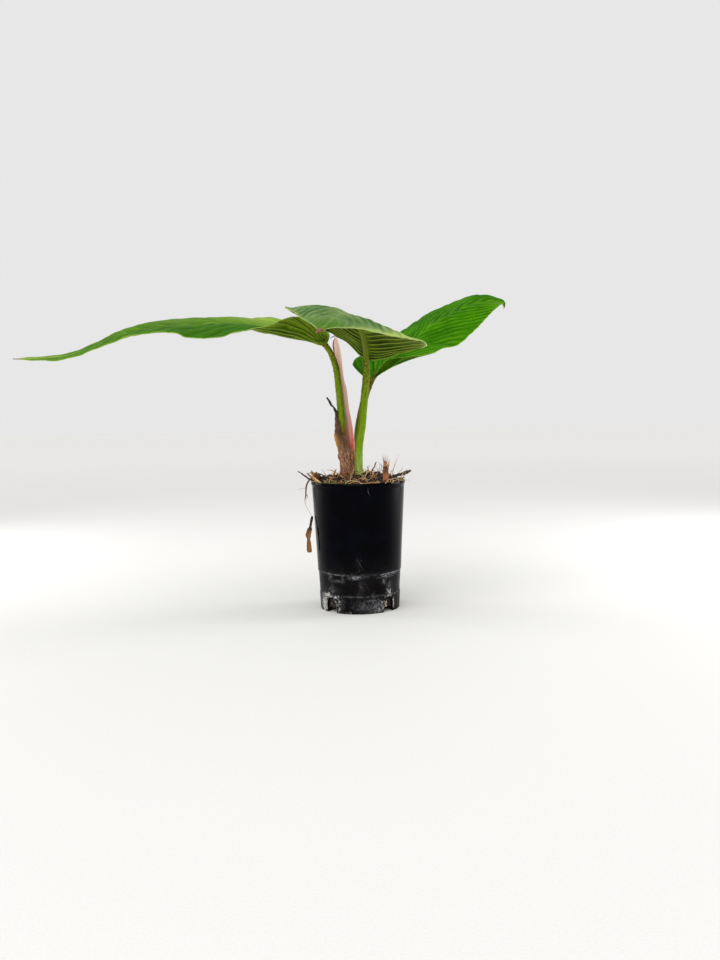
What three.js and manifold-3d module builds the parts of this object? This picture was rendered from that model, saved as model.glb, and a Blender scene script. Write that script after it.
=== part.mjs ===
// Potted philodendron: three ribbed leaves on rough stalks, a pink and a dry cataphyll,
// bark and coir potting mix, round black nursery pot. Millimetres, +Z up.
// The origin is the middle of the pot's foot, on the surface that the pot stands on.
// -Y is the front, where the centre leaf points. +X is to the right.

import * as THREE from 'three';
import Module from 'manifold-3d';
import { mergeVertices } from 'three/addons/utils/BufferGeometryUtils.js';

const wasm = await Module();
wasm.setup();

// Driving dimensions
const POT_HEIGHT = 102;
const POT_TOP_RADIUS = 37.5;
const POT_FOOT_RADIUS = 31.3;
const POT_WALL = 1.4;
const POT_LIP = 0.8;              // the rim stands this far out from the wall
const POT_LIP_HEIGHT = 3;
const STEP_HEIGHT = 31;           // ring low on the wall
const STEP_DEPTH = 0.7;
const PLINTH_HEIGHT = 13.7;
const PLINTH_DEPTH = 0.4;
const FLOOR_LIFT = 2;             // the floor is raised between the centre disc and the foot ring
const FLOOR_THICKNESS = 1.6;
const CENTRE_DISC_RADIUS = 12;
const FOOT_RING_WIDTH = 3;
const NOTCH_COUNT = 4;
const NOTCH_WIDTH = 11;
const NOTCH_HEIGHT = 12;
const POT_FACETS = 48;

const GAP = 0.3;                  // left between pieces that touch
const MIX_EDGE = 100;             // height of the mix at the pot wall
const MIX_CROWN = 107;            // height of the mix round the stalks
const CHIP_COUNT = 22;
const FIBRE_COUNT = 10;
const MIX_FACETS = 36;
const STEM_TOP = 103.3;
const CROWN_POCKET = 1;           // room in the mix over the stem, where the stalks stand
const STEM_RADIUS = 13;
const STEM_DEPTH = 34;
const STEM_CENTRE = [-4, 3];

const BLADE_THICKNESS = 0.8;
const BLADE_COLUMNS = 4;          // facets from midrib to edge
const RIB_HEIGHT = 1.1;           // most that a rib rises over the vein beside it, halved
const RIB_TO_SPACING = 0.17;
const LOBE_SHARE = 0.19;          // share of the edge's length that is the lobe behind the stalk
const VEIN_REACH = 0.95;          // the last vein leaves the midrib here

// Leaf curves, each from the stalk's top to the leaf's tip
const LEFT_LEAF = {
  veins: 20,
  midrib: [
    [-25, -2, 210], [-43, -8, 214], [-64, -15, 218], [-84, -22, 223], [-102, -28, 225], [-120, -34, 223],
    [-145, -43, 221], [-169, -51, 217], [-194, -58, 207], [-214, -63, 201], [-244, -69, 199],
  ],
  left: [
    [-25, -2, 210], [-21, -10, 212], [-22, -24, 217], [-30, -38, 222], [-42, -48, 228], [-55, -58, 224],
    [-64, -65, 220], [-79, -73, 216], [-101, -79, 211], [-118, -82, 212], [-129, -84, 216], [-155, -85, 214],
    [-179, -82, 207], [-205, -77, 199], [-224, -73, 198], [-244, -69, 199],
  ],
  right: [
    [-25, -2, 210], [-21, 6, 214], [-24, 18, 223], [-45, 32, 233], [-73, 34, 234], [-86, 32, 233],
    [-102, 28, 234], [-125, 19, 232], [-150, 6, 231], [-177, -14, 224], [-199, -37, 211], [-217, -53, 203],
    [-244, -69, 199],
  ],
  archLeft: [[0, -0.04], [0.2, -0.06], [0.4, 0], [0.6, 0.03], [1, 0.03]],
  archRight: [[0, 0], [0.5, 0.04], [1, 0.03]],
};
const CENTRE_LEAF = {
  veins: 18,
  midrib: [
    [8, -14, 195], [8, -24, 202], [7, -36, 208], [5, -52, 216], [0, -73, 224], [-7, -100, 226],
    [-14, -130, 220], [-22, -166, 210],
  ],
  left: [
    [8, -14, 195], [16, -4, 199], [27, 0, 204], [41, -8, 205], [52, -34, 205], [50, -62, 207], [41, -82, 208],
    [27, -101, 209], [10, -121, 212], [-6, -142, 213], [-16, -156, 212], [-22, -166, 210],
  ],
  right: [
    [8, -14, 195], [3, -4, 203], [-7, 0, 211], [-20, -6, 220], [-36, -24, 229], [-48, -50, 233],
    [-49, -80, 232], [-42, -102, 227], [-34, -123, 220], [-27, -144, 215], [-22, -166, 210],
  ],
  archLeft: [[0, 0], [0.3, 0.01], [0.55, 0.04], [0.8, 0.05], [1, 0.03]],
  archRight: [[0, 0], [0.3, 0.03], [0.6, 0.07], [1, 0.03]],
};
const RIGHT_LEAF = {
  veins: 18,
  midrib: [
    [13, 10, 180], [18, 14, 188], [26, 21, 196], [35, 29, 204], [51, 44, 217], [68, 57, 230], [85, 70, 239],
    [104, 85, 247], [120, 94, 250], [130, 99, 249], [131, 101, 245],
  ],
  left: [
    [13, 10, 180], [5, 16, 185], [-2, 24, 191], [-2, 36, 198], [7, 48, 207], [23, 64, 215], [36, 78, 221],
    [55, 94, 234], [68, 102, 242], [85, 109, 249], [100, 113, 255], [116, 112, 257], [126, 107, 253],
    [132, 102, 250], [131, 101, 245],
  ],
  right: [
    [13, 10, 180], [17, 0, 186], [24, -8, 194], [34, -10, 197], [45, -6, 199], [59, 2, 201], [72, 12, 206],
    [82, 22, 208], [100, 46, 222], [115, 70, 236], [125, 88, 244], [130, 98, 247], [131, 101, 245],
  ],
  archLeft: [[0, -0.03], [0.5, 0], [1, 0.02]],
  archRight: [[0, -0.04], [0.25, -0.09], [0.42, -0.04], [0.6, 0.03], [1, 0.02]],
};
const MIDRIB_RADIUS = [2.3, 0.5]; // at the stalk, at the tip
const MIDRIB_STEPS = 16;
const STALK_FACETS = 10;
const STALK_STEPS = 14;
const STALK_STRAIGHT = 4;         // the end of a stalk that lies in line with the midrib

const LEAVES = { leaf_left: LEFT_LEAF, leaf_centre: CENTRE_LEAF, leaf_right: RIGHT_LEAF };

// Stalks, from the crown to just below the leaf, with the radius at each end
const STALKS = {
  petiole_left: {
    leaf: 'leaf_left',
    path: [
      [-9, 0, 104], [-10, 0, 130], [-12, -1, 156], [-13, -1, 171], [-14, -2, 185], [-16, -2, 198],
      [-18.4, -1.6, 205],
    ],
    radii: [3.2, 2.7],
  },
  petiole_centre: {
    leaf: 'leaf_centre',
    path: [[1, -6, 104], [1, -7, 126], [4, -8, 146], [6, -9, 165], [8, -10.4, 181]],
    radii: [3.5, 2.5],
  },
  petiole_right: {
    leaf: 'leaf_right',
    path: [[4, 12, 104], [1, 12, 125], [1, 12, 141], [4, 11.6, 156], [8, 10, 169]],
    radii: [3.2, 2.5],
  },
};

// Round pieces that stand or lie in the mix, each with its radii from first to last point
const LOOSE_RODS = {
  cataphyll_new: {
    path: [
      [-3, 6, 104], [-5, 6, 127], [-8, 6, 150], [-12, 6, 178], [-13, 6, 197], [-15, 5, 209], [-15, 5, 216],
    ],
    radii: [3.2, 3.5, 3.5, 3.1, 2.4, 1.3, 0.4],
    sides: 10,
    steps: 14,
    colour: 0xd9a692,
  },
  mossy_stick: {
    path: [[17, -12, 101.4], [26, -8, 104.6], [35, -3, 106.4], [42, 2, 108.4]],
    radii: [1.1, 1, 1.2, 0.9],
    sides: 7,
    steps: 8,
    colour: 0x4a4a22,
  },
  twig_left: {
    path: [[-27, -13, 99.5], [-32, -12.6, 103.4], [-40, -11, 106], [-47, -9, 109.5]],
    radii: [0.7, 0.6, 0.5],
    sides: 5,
    steps: 6,
    colour: 0x2e2016,
  },
  hanging_root: {
    path: [
      [-29, -2, 99], [-33.5, -2, 103.4], [-38, -2.4, 103.8], [-41.6, -3, 99], [-42.6, -4, 92],
      [-41.6, -5, 84], [-39.4, -6, 74.3],
    ],
    radii: [0.6, 0.6, 0.5, 0.4],
    sides: 5,
    steps: 18,
    colour: 0x4a3a2a,
  },
};

// Dry sheath round the foot of the left stalk: keys run from its foot (0) to the end of its tail (1)
const DRY_SHEATH = {
  axis: [
    [-10, 0, 104], [-10.5, 0, 130], [-12, -1, 148], [-14, -1.5, 160], [-18, -2.5, 166], [-23.5, -4, 168.5],
  ],
  radius: [[0, 6.6], [0.35, 6.2], [0.6, 5.2], [0.75, 4.6], [0.9, 2.2], [1, 0.9]],
  firstEdge: [[0, 95], [0.4, 100], [0.65, 120], [0.8, 150], [1, 160]],   // degrees round the axis
  secondEdge: [[0, 345], [0.4, 335], [0.65, 290], [0.8, 250], [1, 230]],
  holeRadius: 7.8,
};
const HUSK = { foot: [22, 1, 101], top: 116.5, tallest: 127, bristles: 10, holeRadius: 3.3 };
const HANGING_BARK = { top: [-38.9, -5.6, 74], thickness: 0.9, turn: 0.15 };

// Number helpers
const lerp = (a, b, t) => a + (b - a) * t;
const clamp = (x, low, high) => Math.min(high, Math.max(low, x));
const vector = (p) => new THREE.Vector3(p[0], p[1], p[2]);

function keyed(keys, t) {
  for (let i = 1; i < keys.length; i++) {
    if (t <= keys[i][0]) {
      return lerp(keys[i - 1][1], keys[i][1], (t - keys[i - 1][0]) / (keys[i][0] - keys[i - 1][0]));
    }
  }
  return keys[keys.length - 1][1];
}

function seeded(seed) {
  let state = seed;
  return () => {
    state = (state * 1664525 + 1013904223) % 4294967296;
    return state / 4294967296;
  };
}

function curve(points) {
  const line = new THREE.CatmullRomCurve3(points.map(vector), false, 'catmullrom', 0.5);
  line.arcLengthDivisions = 400;
  return line;
}

// Solids: a closed body is { points: [Vector3], faces: [[a, b, c]] } until it becomes a manifold
function manifoldOf(body) {
  const vertProperties = new Float32Array(body.points.flatMap((p) => [p.x, p.y, p.z]));
  const triVerts = new Uint32Array(body.faces.flat());
  return new wasm.Manifold(new wasm.Mesh({ numProp: 3, vertProperties, triVerts }));
}

function manifoldOfGeometry(source) {
  const geometry = source.index ? source : mergeVertices(source);
  geometry.deleteAttribute('normal');
  geometry.deleteAttribute('uv');
  const merged = mergeVertices(geometry, 1e-4);
  const vertProperties = new Float32Array(merged.attributes.position.array);
  const triVerts = new Uint32Array(merged.index.array);
  return new wasm.Manifold(new wasm.Mesh({ numProp: 3, vertProperties, triVerts }));
}

function geometryOf(manifold) {
  const mesh = manifold.getMesh();
  const geometry = new THREE.BufferGeometry();
  const positions = new Float32Array(mesh.numVert * 3);
  for (let i = 0; i < mesh.numVert; i++) {
    for (let k = 0; k < 3; k++) positions[3 * i + k] = mesh.vertProperties[mesh.numProp * i + k];
  }
  geometry.setAttribute('position', new THREE.BufferAttribute(positions, 3));
  geometry.setIndex(new THREE.BufferAttribute(new Uint32Array(mesh.triVerts), 1));
  geometry.computeVertexNormals();
  return geometry;
}

function joined(manifolds) {
  return manifolds.reduce((sum, next) => sum.add(next));
}

// Keeps the outer surface of the largest body, so pockets sealed by a join are filled
function oneBody(manifold) {
  return manifold.decompose().reduce((best, next) => (next.volume() > best.volume() ? next : best));
}

// A round rod along a path, closed at both ends; grow makes it thicker and longer, for its hole
function rod(path, radii, sides, steps, grow = 0) {
  const line = curve(path);
  const points = [];
  const faces = [];
  let across = null;
  let last = null;
  for (let i = 0; i <= steps; i++) {
    const t = i / steps;
    const ahead = line.getTangentAt(t);
    const stretch = i === 0 ? -grow : i === steps ? grow : 0;
    const centre = line.getPointAt(t).addScaledVector(ahead, stretch);
    if (!across) across = Math.abs(ahead.z) < 0.9 ? new THREE.Vector3(0, 0, 1) : new THREE.Vector3(1, 0, 0);
    across.addScaledVector(ahead, -across.dot(ahead)).normalize();
    const third = ahead.clone().cross(across);
    const place = t * (radii.length - 1);
    const low = Math.min(Math.floor(place), radii.length - 2);
    const radius = lerp(radii[low], radii[low + 1], place - low) + grow;
    if (i === 0) points.push(centre);
    if (i === steps) last = centre;
    for (let k = 0; k < sides; k++) {
      const turn = (2 * Math.PI * k) / sides;
      points.push(centre.clone()
        .addScaledVector(across, radius * Math.cos(turn))
        .addScaledVector(third, radius * Math.sin(turn)));
    }
  }
  for (let i = 0; i < steps; i++) {
    for (let k = 0; k < sides; k++) {
      const a = 1 + i * sides + k;
      const b = 1 + i * sides + ((k + 1) % sides);
      faces.push([a, b, b + sides], [a, b + sides, a + sides]);
    }
  }
  const end = points.push(last) - 1;
  const endRing = 1 + steps * sides;
  for (let k = 0; k < sides; k++) {
    const next = (k + 1) % sides;
    faces.push([0, 1 + next, 1 + k], [end, endRing + k, endRing + next]);
  }
  return manifoldOf({ points, faces });
}

// A thin sheet of even thickness over a grid of points, closed at its edges
function sheet(rows, columns, place, thickness) {
  const middle = [];
  for (let i = 0; i <= rows; i++) {
    for (let j = 0; j <= columns; j++) middle.push(place(i / rows, j / columns));
  }
  const width = columns + 1;
  const at = (i, j) => middle[clamp(i, 0, rows) * width + clamp(j, 0, columns)];
  const top = [];
  const bottom = [];
  for (let i = 0; i <= rows; i++) {
    for (let j = 0; j <= columns; j++) {
      const down = at(i + 1, j).clone().sub(at(i - 1, j));
      const side = at(i, j + 1).clone().sub(at(i, j - 1));
      const normal = down.cross(side).normalize().multiplyScalar(thickness / 2);
      top.push(at(i, j).clone().add(normal));
      bottom.push(at(i, j).clone().sub(normal));
    }
  }
  const faces = [];
  const under = top.length;
  const quad = (a, b, c, d) => faces.push([a, b, c], [a, c, d]);
  for (let i = 0; i < rows; i++) {
    for (let j = 0; j < columns; j++) {
      const a = i * width + j;
      quad(a, a + width, a + width + 1, a + 1);
      const b = under + a;
      faces.push([b, b + width + 1, b + width], [b, b + 1, b + width + 1]);
    }
  }
  for (let j = 0; j < columns; j++) {
    const end = rows * width + j;
    quad(j, j + 1, under + j + 1, under + j);
    quad(end + 1, end, under + end, under + end + 1);
  }
  for (let i = 0; i < rows; i++) {
    const a = i * width;
    const b = a + columns;
    quad(a + width, a, under + a, under + a + width);
    quad(b, b + width, under + b + width, under + b);
  }
  return manifoldOf({ points: [...top, ...bottom], faces });
}

// Leaf
// The smooth blade: at share m of the edge's length, v runs from the midrib (0) to the edge (1).
function bladeSurface(leaf, side) {
  const midrib = curve(leaf.midrib);
  const edge = curve(side > 0 ? leaf.left : leaf.right);
  const arch = side > 0 ? leaf.archLeft : leaf.archRight;
  return (m, v) => {
    const along = clamp((m - LOBE_SHARE) / (1 - LOBE_SHARE), 0, 1);
    const start = midrib.getPointAt(along);
    const across = edge.getPointAt(clamp(m, 0, 1)).sub(start);
    const up = midrib.getTangentAt(along).cross(across).multiplyScalar(side).normalize();
    const reach = across.length();
    const bend = 2 * v * (1 - v) * 2 * keyed(arch, m) * reach;
    return start.addScaledVector(across, v).addScaledVector(up, bend);
  };
}

// A vein leaves the midrib near its start and reaches the edge far ahead of that.
function veinPlace(q, v) {
  const fan = lerp(0.04, LOBE_SHARE, clamp(q / 0.15, 0, 1));
  const start = fan + (1 - LOBE_SHARE) * VEIN_REACH * q * q;
  const end = 0.04 + 0.955 * (1 - (1 - q) ** 1.6);
  return lerp(start, end, v ** 1.25);
}

// Half a blade, folded into a rib between each two veins
function halfBlade(leaf, side) {
  const smooth = bladeSurface(leaf, side);
  const rows = 2 * leaf.veins - 1;
  const point = (q, v) => smooth(veinPlace(q, v), v);
  const place = (row, column) => {
    const index = Math.round(row * rows);
    const q = index / (rows + 1);
    const v = lerp(0.03, 1, column);
    const here = point(q, v);
    const before = point(Math.max(q - 0.01, 0), v);
    const after = point(q + 0.01, v);
    const along = after.clone().sub(before);
    const across = point(q, Math.min(v + 0.01, 1)).sub(point(q, v - 0.01));
    const spacing = along.clone().projectOnPlane(across.normalize()).length() * (0.5 / leaf.veins / 0.01);
    const fade = Math.min(1, 0.35 + 3 * v) * (1 - 0.55 * v ** 4);
    const height = Math.min(RIB_HEIGHT, RIB_TO_SPACING * 2 * spacing) * fade;
    return here.addScaledVector(along.cross(across).normalize(), (index % 2 ? height : -height) * -side);
  };
  return sheet(rows, BLADE_COLUMNS, place, BLADE_THICKNESS);
}

function leafBlade(leaf) {
  const halves = [1, -1].map((side) => halfBlade(leaf, side));
  return joined([...halves, rod(leaf.midrib, MIDRIB_RADIUS, 6, MIDRIB_STEPS)]);
}

// A stalk runs straight into the midrib of its leaf and ends a gap short of it
function stalkPath({ leaf, path }) {
  const midrib = curve(LEAVES[leaf].midrib);
  const joint = midrib.getPointAt(0);
  const ahead = midrib.getTangentAt(0);
  const back = (distance) => joint.clone().addScaledVector(ahead, -distance).toArray();
  return [...path, back(STALK_STRAIGHT), back(GAP)];
}

function stalk(name, grow) {
  return rod(stalkPath(STALKS[name]), STALKS[name].radii, STALK_FACETS, STALK_STEPS, grow);
}

// Pot
function potWallRadius(z) {
  const taper = lerp(POT_FOOT_RADIUS, POT_TOP_RADIUS - POT_LIP, z / POT_HEIGHT);
  if (z < PLINTH_HEIGHT) return taper + 0.2;
  return z < STEP_HEIGHT ? taper - PLINTH_DEPTH + 0.2 : taper + STEP_DEPTH - PLINTH_DEPTH;
}

function lathe(profile) {
  const points = profile.map(([r, z]) => new THREE.Vector2(r, z));
  const turned = new THREE.LatheGeometry(points, POT_FACETS).rotateX(Math.PI / 2);
  return manifoldOfGeometry(turned);
}

function potInnerRadius(z) {
  return potWallRadius(z) - POT_WALL;
}

function potBody() {
  const ring = POT_FOOT_RADIUS - FOOT_RING_WIDTH;
  const lipFoot = POT_HEIGHT - POT_LIP_HEIGHT;
  const floor = FLOOR_LIFT + FLOOR_THICKNESS;
  const profile = [
    [0, 0], [CENTRE_DISC_RADIUS, 0], [CENTRE_DISC_RADIUS + 1.5, FLOOR_LIFT],
    [ring - 1, FLOOR_LIFT], [ring, 0], [potWallRadius(0), 0],
    [potWallRadius(PLINTH_HEIGHT - 0.01), PLINTH_HEIGHT - 0.3], [potWallRadius(PLINTH_HEIGHT), PLINTH_HEIGHT],
    [potWallRadius(STEP_HEIGHT - 0.01), STEP_HEIGHT - 0.5], [potWallRadius(STEP_HEIGHT), STEP_HEIGHT + 0.3],
    [potWallRadius(lipFoot), lipFoot], [POT_TOP_RADIUS, lipFoot + 0.7], [POT_TOP_RADIUS, POT_HEIGHT - 0.5],
    [POT_TOP_RADIUS - 0.5, POT_HEIGHT], [POT_TOP_RADIUS - POT_LIP - POT_WALL, POT_HEIGHT],
    [potInnerRadius(lipFoot), lipFoot], [potInnerRadius(STEP_HEIGHT), STEP_HEIGHT + 0.8],
    [potInnerRadius(STEP_HEIGHT - 0.01), STEP_HEIGHT - 1], [potInnerRadius(floor), floor], [0, floor],
  ];
  const body = lathe(profile);
  const arch = new THREE.Shape();
  const half = NOTCH_WIDTH / 2;
  arch.moveTo(-half, -1);
  arch.lineTo(half, -1);
  arch.lineTo(half * 0.72, NOTCH_HEIGHT - 2.5);
  arch.lineTo(half * 0.3, NOTCH_HEIGHT);
  arch.lineTo(-half * 0.3, NOTCH_HEIGHT);
  arch.lineTo(-half * 0.72, NOTCH_HEIGHT - 2.5);
  let cut = body;
  for (let i = 0; i < NOTCH_COUNT; i++) {
    const turn = (2 * Math.PI * (i + 0.5)) / NOTCH_COUNT;
    const notch = new THREE.ExtrudeGeometry(arch, { depth: 8, bevelEnabled: false });
    notch.rotateX(Math.PI / 2).rotateZ(Math.PI).translate(0, POT_FOOT_RADIUS - 4.5, 0).rotateZ(turn);
    cut = cut.subtract(manifoldOfGeometry(notch));
  }
  return cut;
}

// Potting mix: a plug that fills the pot, heaped and lumpy on top, with chips and fibres sunk in it
function mixHeight(x, y) {
  const rim = POT_TOP_RADIUS - POT_LIP - POT_WALL;
  const share = clamp(Math.hypot(x, y) / rim, 0, 1);
  const heap = lerp(MIX_CROWN, MIX_EDGE, share ** 4);
  const lumps = Math.sin(x * 0.43 + 1) * Math.cos(y * 0.37) + 0.7 * Math.sin(x * 0.21 - y * 0.52 + 2);
  return heap + 0.7 * lumps * (1 - share ** 6);
}

function mixPlug() {
  const floor = FLOOR_LIFT + FLOOR_THICKNESS + GAP;
  const levels = [floor, STEP_HEIGHT - 1, STEP_HEIGHT + 0.8, MIX_EDGE - 1];
  const sides = MIX_FACETS;
  const rings = 5;
  const points = [];
  const faces = [];
  const pushRing = (radius, height) => {
    for (let k = 0; k < sides; k++) {
      const turn = (2 * Math.PI * k) / sides;
      const x = radius * Math.cos(turn);
      const y = radius * Math.sin(turn);
      points.push(new THREE.Vector3(x, y, height ?? mixHeight(x, y)));
    }
  };
  const inside = (z) => potInnerRadius(z) - GAP - 0.1;
  levels.forEach((z) => pushRing(inside(z), z));
  for (let i = 0; i < rings; i++) pushRing(inside(MIX_EDGE) * (1 - i / rings));
  const count = levels.length + rings;
  const bottom = points.push(new THREE.Vector3(0, 0, floor)) - 1;
  const top = points.push(new THREE.Vector3(0, 0, mixHeight(0, 0))) - 1;
  for (let i = 0; i < count - 1; i++) {
    for (let k = 0; k < sides; k++) {
      const a = i * sides + k;
      const b = i * sides + ((k + 1) % sides);
      faces.push([a, b, b + sides], [a, b + sides, a + sides]);
    }
  }
  for (let k = 0; k < sides; k++) {
    const next = (k + 1) % sides;
    faces.push([bottom, next, k], [top, (count - 1) * sides + k, (count - 1) * sides + next]);
  }
  return manifoldOf({ points, faces });
}

// A flat splinter with pointed ends, turned by yaw about Z and raised by pitch
function splinter(centre, [length, width, thickness], yaw, pitch, grow = 0) {
  const outline = [
    [-0.5, 0.2], [-0.3, 0.5], [0.25, 0.45], [0.5, 0.1], [0.42, -0.3], [0.1, -0.5], [-0.35, -0.4],
  ];
  const corner = ([x, y]) => new THREE.Vector2(x * (length + 3 * grow), y * (width + 3 * grow));
  const body = new THREE.ExtrudeGeometry(new THREE.Shape(outline.map(corner)), {
    depth: thickness + 2 * grow,
    bevelEnabled: false,
  });
  body.translate(0, 0, -thickness / 2 - grow).rotateY(-pitch).rotateZ(yaw).translate(...centre);
  return manifoldOfGeometry(body);
}

function pottingMix(removed) {
  const random = seeded(7);
  const parts = [];
  const clear = (x, y) => Math.hypot(x - STEM_CENTRE[0], y - STEM_CENTRE[1]) > 15;
  for (let placed = 0; placed < CHIP_COUNT;) {
    const turn = random() * 2 * Math.PI;
    const distance = 31 * Math.sqrt(random());
    const x = distance * Math.cos(turn);
    const y = distance * Math.sin(turn);
    const length = lerp(6, 13, random());
    const yaw = random() * Math.PI;
    const pitch = lerp(-0.35, 0.35, random());
    if (distance + length / 2 > 34 || !clear(x, y)) continue;
    parts.push(splinter([x, y, mixHeight(x, y) + 0.5], [length, length * 0.42, 2.4], yaw, pitch));
    placed += 1;
  }
  for (let placed = 0; placed < FIBRE_COUNT;) {
    const turn = random() * 2 * Math.PI;
    const distance = 30 * Math.sqrt(random());
    const x = distance * Math.cos(turn);
    const y = distance * Math.sin(turn);
    const yaw = random() * 2 * Math.PI;
    const reach = lerp(5, 9, random());
    const rise = lerp(2, 6, random());
    if (!clear(x, y) || distance + reach > 36) continue;
    const base = mixHeight(x, y);
    const bow = (s, lift) => [x + s * reach * Math.cos(yaw), y + s * reach * Math.sin(yaw), base + lift];
    const path = [bow(0, -3), bow(0.3, rise * 0.8), bow(0.7, rise), bow(1, rise * 0.3)];
    parts.push(rod(path, [0.5, 0.4, 0.32], 3, 5));
    placed += 1;
  }
  const whole = joined([mixPlug(), ...parts]);
  return removed.reduce((rest, hole) => rest.subtract(hole), whole);
}

// Stem: a short stub with roots, buried in the mix; grow widens it for its hole
function stemBody(grow) {
  const [x, y] = STEM_CENTRE;
  const top = STEM_TOP + (grow > 0 ? CROWN_POCKET : 0);
  const foot = STEM_TOP - STEM_DEPTH;
  const stub = rod([[x, y, foot], [x, y, foot + 8], [x, y, top - 10], [x, y, top]],
    [4, 10, STEM_RADIUS - 1, STEM_RADIUS, STEM_RADIUS - 0.5], 12, 6, grow);
  const roots = [0, 1, 2, 3, 4].map((i) => {
    const turn = (2 * Math.PI * i) / 5 + 0.4;
    const step = (out, z) => [x + out * Math.cos(turn), y + out * Math.sin(turn), z];
    return rod([step(4, 86), step(12, 74), step(15, 55), step(13, 34)], [2, 1.6, 1.1], 5, 5, grow);
  });
  return joined([stub, ...roots]);
}

// Dry sheath: a curled papery sheet, drawn out into a tail
function drySheath() {
  const axis = curve(DRY_SHEATH.axis);
  const place = (row, column) => {
    const degrees = lerp(keyed(DRY_SHEATH.firstEdge, row), keyed(DRY_SHEATH.secondEdge, row), column);
    const turn = THREE.MathUtils.degToRad(degrees);
    const reach = keyed(DRY_SHEATH.radius, row) * (1 + 0.05 * Math.sin(9 * turn + 14 * row));
    return axis.getPointAt(row).add(new THREE.Vector3(reach * Math.cos(turn), reach * Math.sin(turn), 0));
  };
  return sheet(14, 10, place, BLADE_THICKNESS);
}

// Husk: a tuft of upright bristles fused at the foot
function huskTuft() {
  const random = seeded(11);
  const [x, y, z] = HUSK.foot;
  const core = rod([HUSK.foot, [x, y, z + 7], [x, y, HUSK.top]], [2.6, 2.3, 1.3], 7, 5);
  const bristles = Array.from({ length: HUSK.bristles }, () => {
    const turn = random() * 2 * Math.PI;
    const lean = lerp(0.6, 3.2, random());
    const tip = lerp(z + 11, HUSK.tallest, random() ** 2);
    const side = new THREE.Vector3(lean * Math.cos(turn), lean * Math.sin(turn), 0);
    const at = (share, height) => new THREE.Vector3(x, y, height).addScaledVector(side, share).toArray();
    return rod([at(0.4, z + 3), at(0.7, (z + 3 + tip) / 2), at(1.2, tip)], [0.7, 0.5, 0.32], 3, 4);
  });
  return joined([core, ...bristles]);
}

// Bark flakes that stand up at the rim
function barkFlakes(grow) {
  return joined([
    splinter([-34.6, -6, 105.4], [10.5, 4.2, 1.4], 0.2, 1.95, grow),
    splinter([-32.4, -5.2, 104], [11, 5, 1.4], 0.9, 1.75, grow),
    splinter([-31.4, -7, 103.2], [10, 4, 1.4], -0.5, 1.2, grow),
  ]);
}

// A long fleck of bark at the end of the hanging root
function hangingBark() {
  const outline = [
    [0, 0], [0.9, -1.5], [1.2, -9], [2.4, -16], [0.6, -29], [-1, -25], [-3.2, -13], [-1.2, -8], [-0.8, -1.5],
  ];
  const shape = new THREE.Shape(outline.map(([x, z]) => new THREE.Vector2(x, z)));
  const body = new THREE.ExtrudeGeometry(shape, { depth: HANGING_BARK.thickness, bevelEnabled: false });
  body.rotateX(Math.PI / 2).rotateZ(HANGING_BARK.turn).translate(...HANGING_BARK.top);
  return manifoldOfGeometry(body);
}

// Assembly
const group = new THREE.Group();

function addPart(name, manifold, colour, roughness) {
  const material = new THREE.MeshStandardMaterial({ color: colour, roughness, metalness: 0 });
  const mesh = new THREE.Mesh(geometryOf(oneBody(manifold)), material);
  mesh.name = name;
  group.add(mesh);
}

const looseRod = ({ path, radii, sides, steps }, grow) => rod(path, radii, sides, steps, grow);

// An upright round hole in the mix, round the foot of a piece that stands in it
function footHole([x, y, z], radius) {
  return rod([[x, y, z - GAP], [x, y, z + 9]], [radius, radius], 14, 1);
}

const holes = [
  stemBody(GAP),
  barkFlakes(GAP),
  footHole(DRY_SHEATH.axis[0], DRY_SHEATH.holeRadius),
  footHole(HUSK.foot, HUSK.holeRadius),
  ...Object.keys(STALKS).map((name) => stalk(name, GAP)),
  ...Object.values(LOOSE_RODS).map((piece) => looseRod(piece, GAP)),
];

addPart('pot', potBody(), 0x0b0b0e, 0.3);
addPart('stem', stemBody(0), 0x6d5a3a, 0.8);
for (const name of Object.keys(STALKS)) {
  addPart(name, stalk(name, 0), 0x6f8f1c, 0.6);
  const leaf = STALKS[name].leaf;
  addPart(leaf, leafBlade(LEAVES[leaf]).subtract(stalk(name, GAP)), 0x4b8214, 0.45);
}
for (const [name, piece] of Object.entries(LOOSE_RODS)) {
  addPart(name, looseRod(piece, 0), piece.colour, 0.8);
}
addPart('cataphyll_dry', drySheath(), 0x7a5334, 0.85);
addPart('husk_tuft', huskTuft(), 0xa8622c, 0.9);
addPart('bark_flakes', barkFlakes(0), 0x7a5230, 0.9);
addPart('hanging_bark', hangingBark(), 0x8a5c3a, 0.9);
addPart('potting_mix', pottingMix(holes), 0x3a2616, 0.95);

export default group;
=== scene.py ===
"""Looks of a potted philodendron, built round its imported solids. +Z is up and -Y is the front."""

import math

import bmesh
import bpy
import numpy as np
from mathutils import Matrix, Vector


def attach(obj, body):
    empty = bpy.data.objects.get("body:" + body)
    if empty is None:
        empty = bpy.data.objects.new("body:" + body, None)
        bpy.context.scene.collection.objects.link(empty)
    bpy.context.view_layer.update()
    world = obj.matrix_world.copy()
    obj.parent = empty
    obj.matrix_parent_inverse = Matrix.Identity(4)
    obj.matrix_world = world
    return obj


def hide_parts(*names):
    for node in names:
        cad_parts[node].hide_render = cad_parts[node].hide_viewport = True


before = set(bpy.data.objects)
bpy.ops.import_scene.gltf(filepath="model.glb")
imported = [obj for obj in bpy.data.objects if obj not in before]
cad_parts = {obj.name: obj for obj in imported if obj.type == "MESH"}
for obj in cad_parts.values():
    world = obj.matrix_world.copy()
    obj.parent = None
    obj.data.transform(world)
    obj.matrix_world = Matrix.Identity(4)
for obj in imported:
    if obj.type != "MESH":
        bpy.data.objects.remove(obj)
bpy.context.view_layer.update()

MM = 0.001                    # shapes below are in millimetres and become metres in new_mesh
TURN = 2 * math.pi

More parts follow.
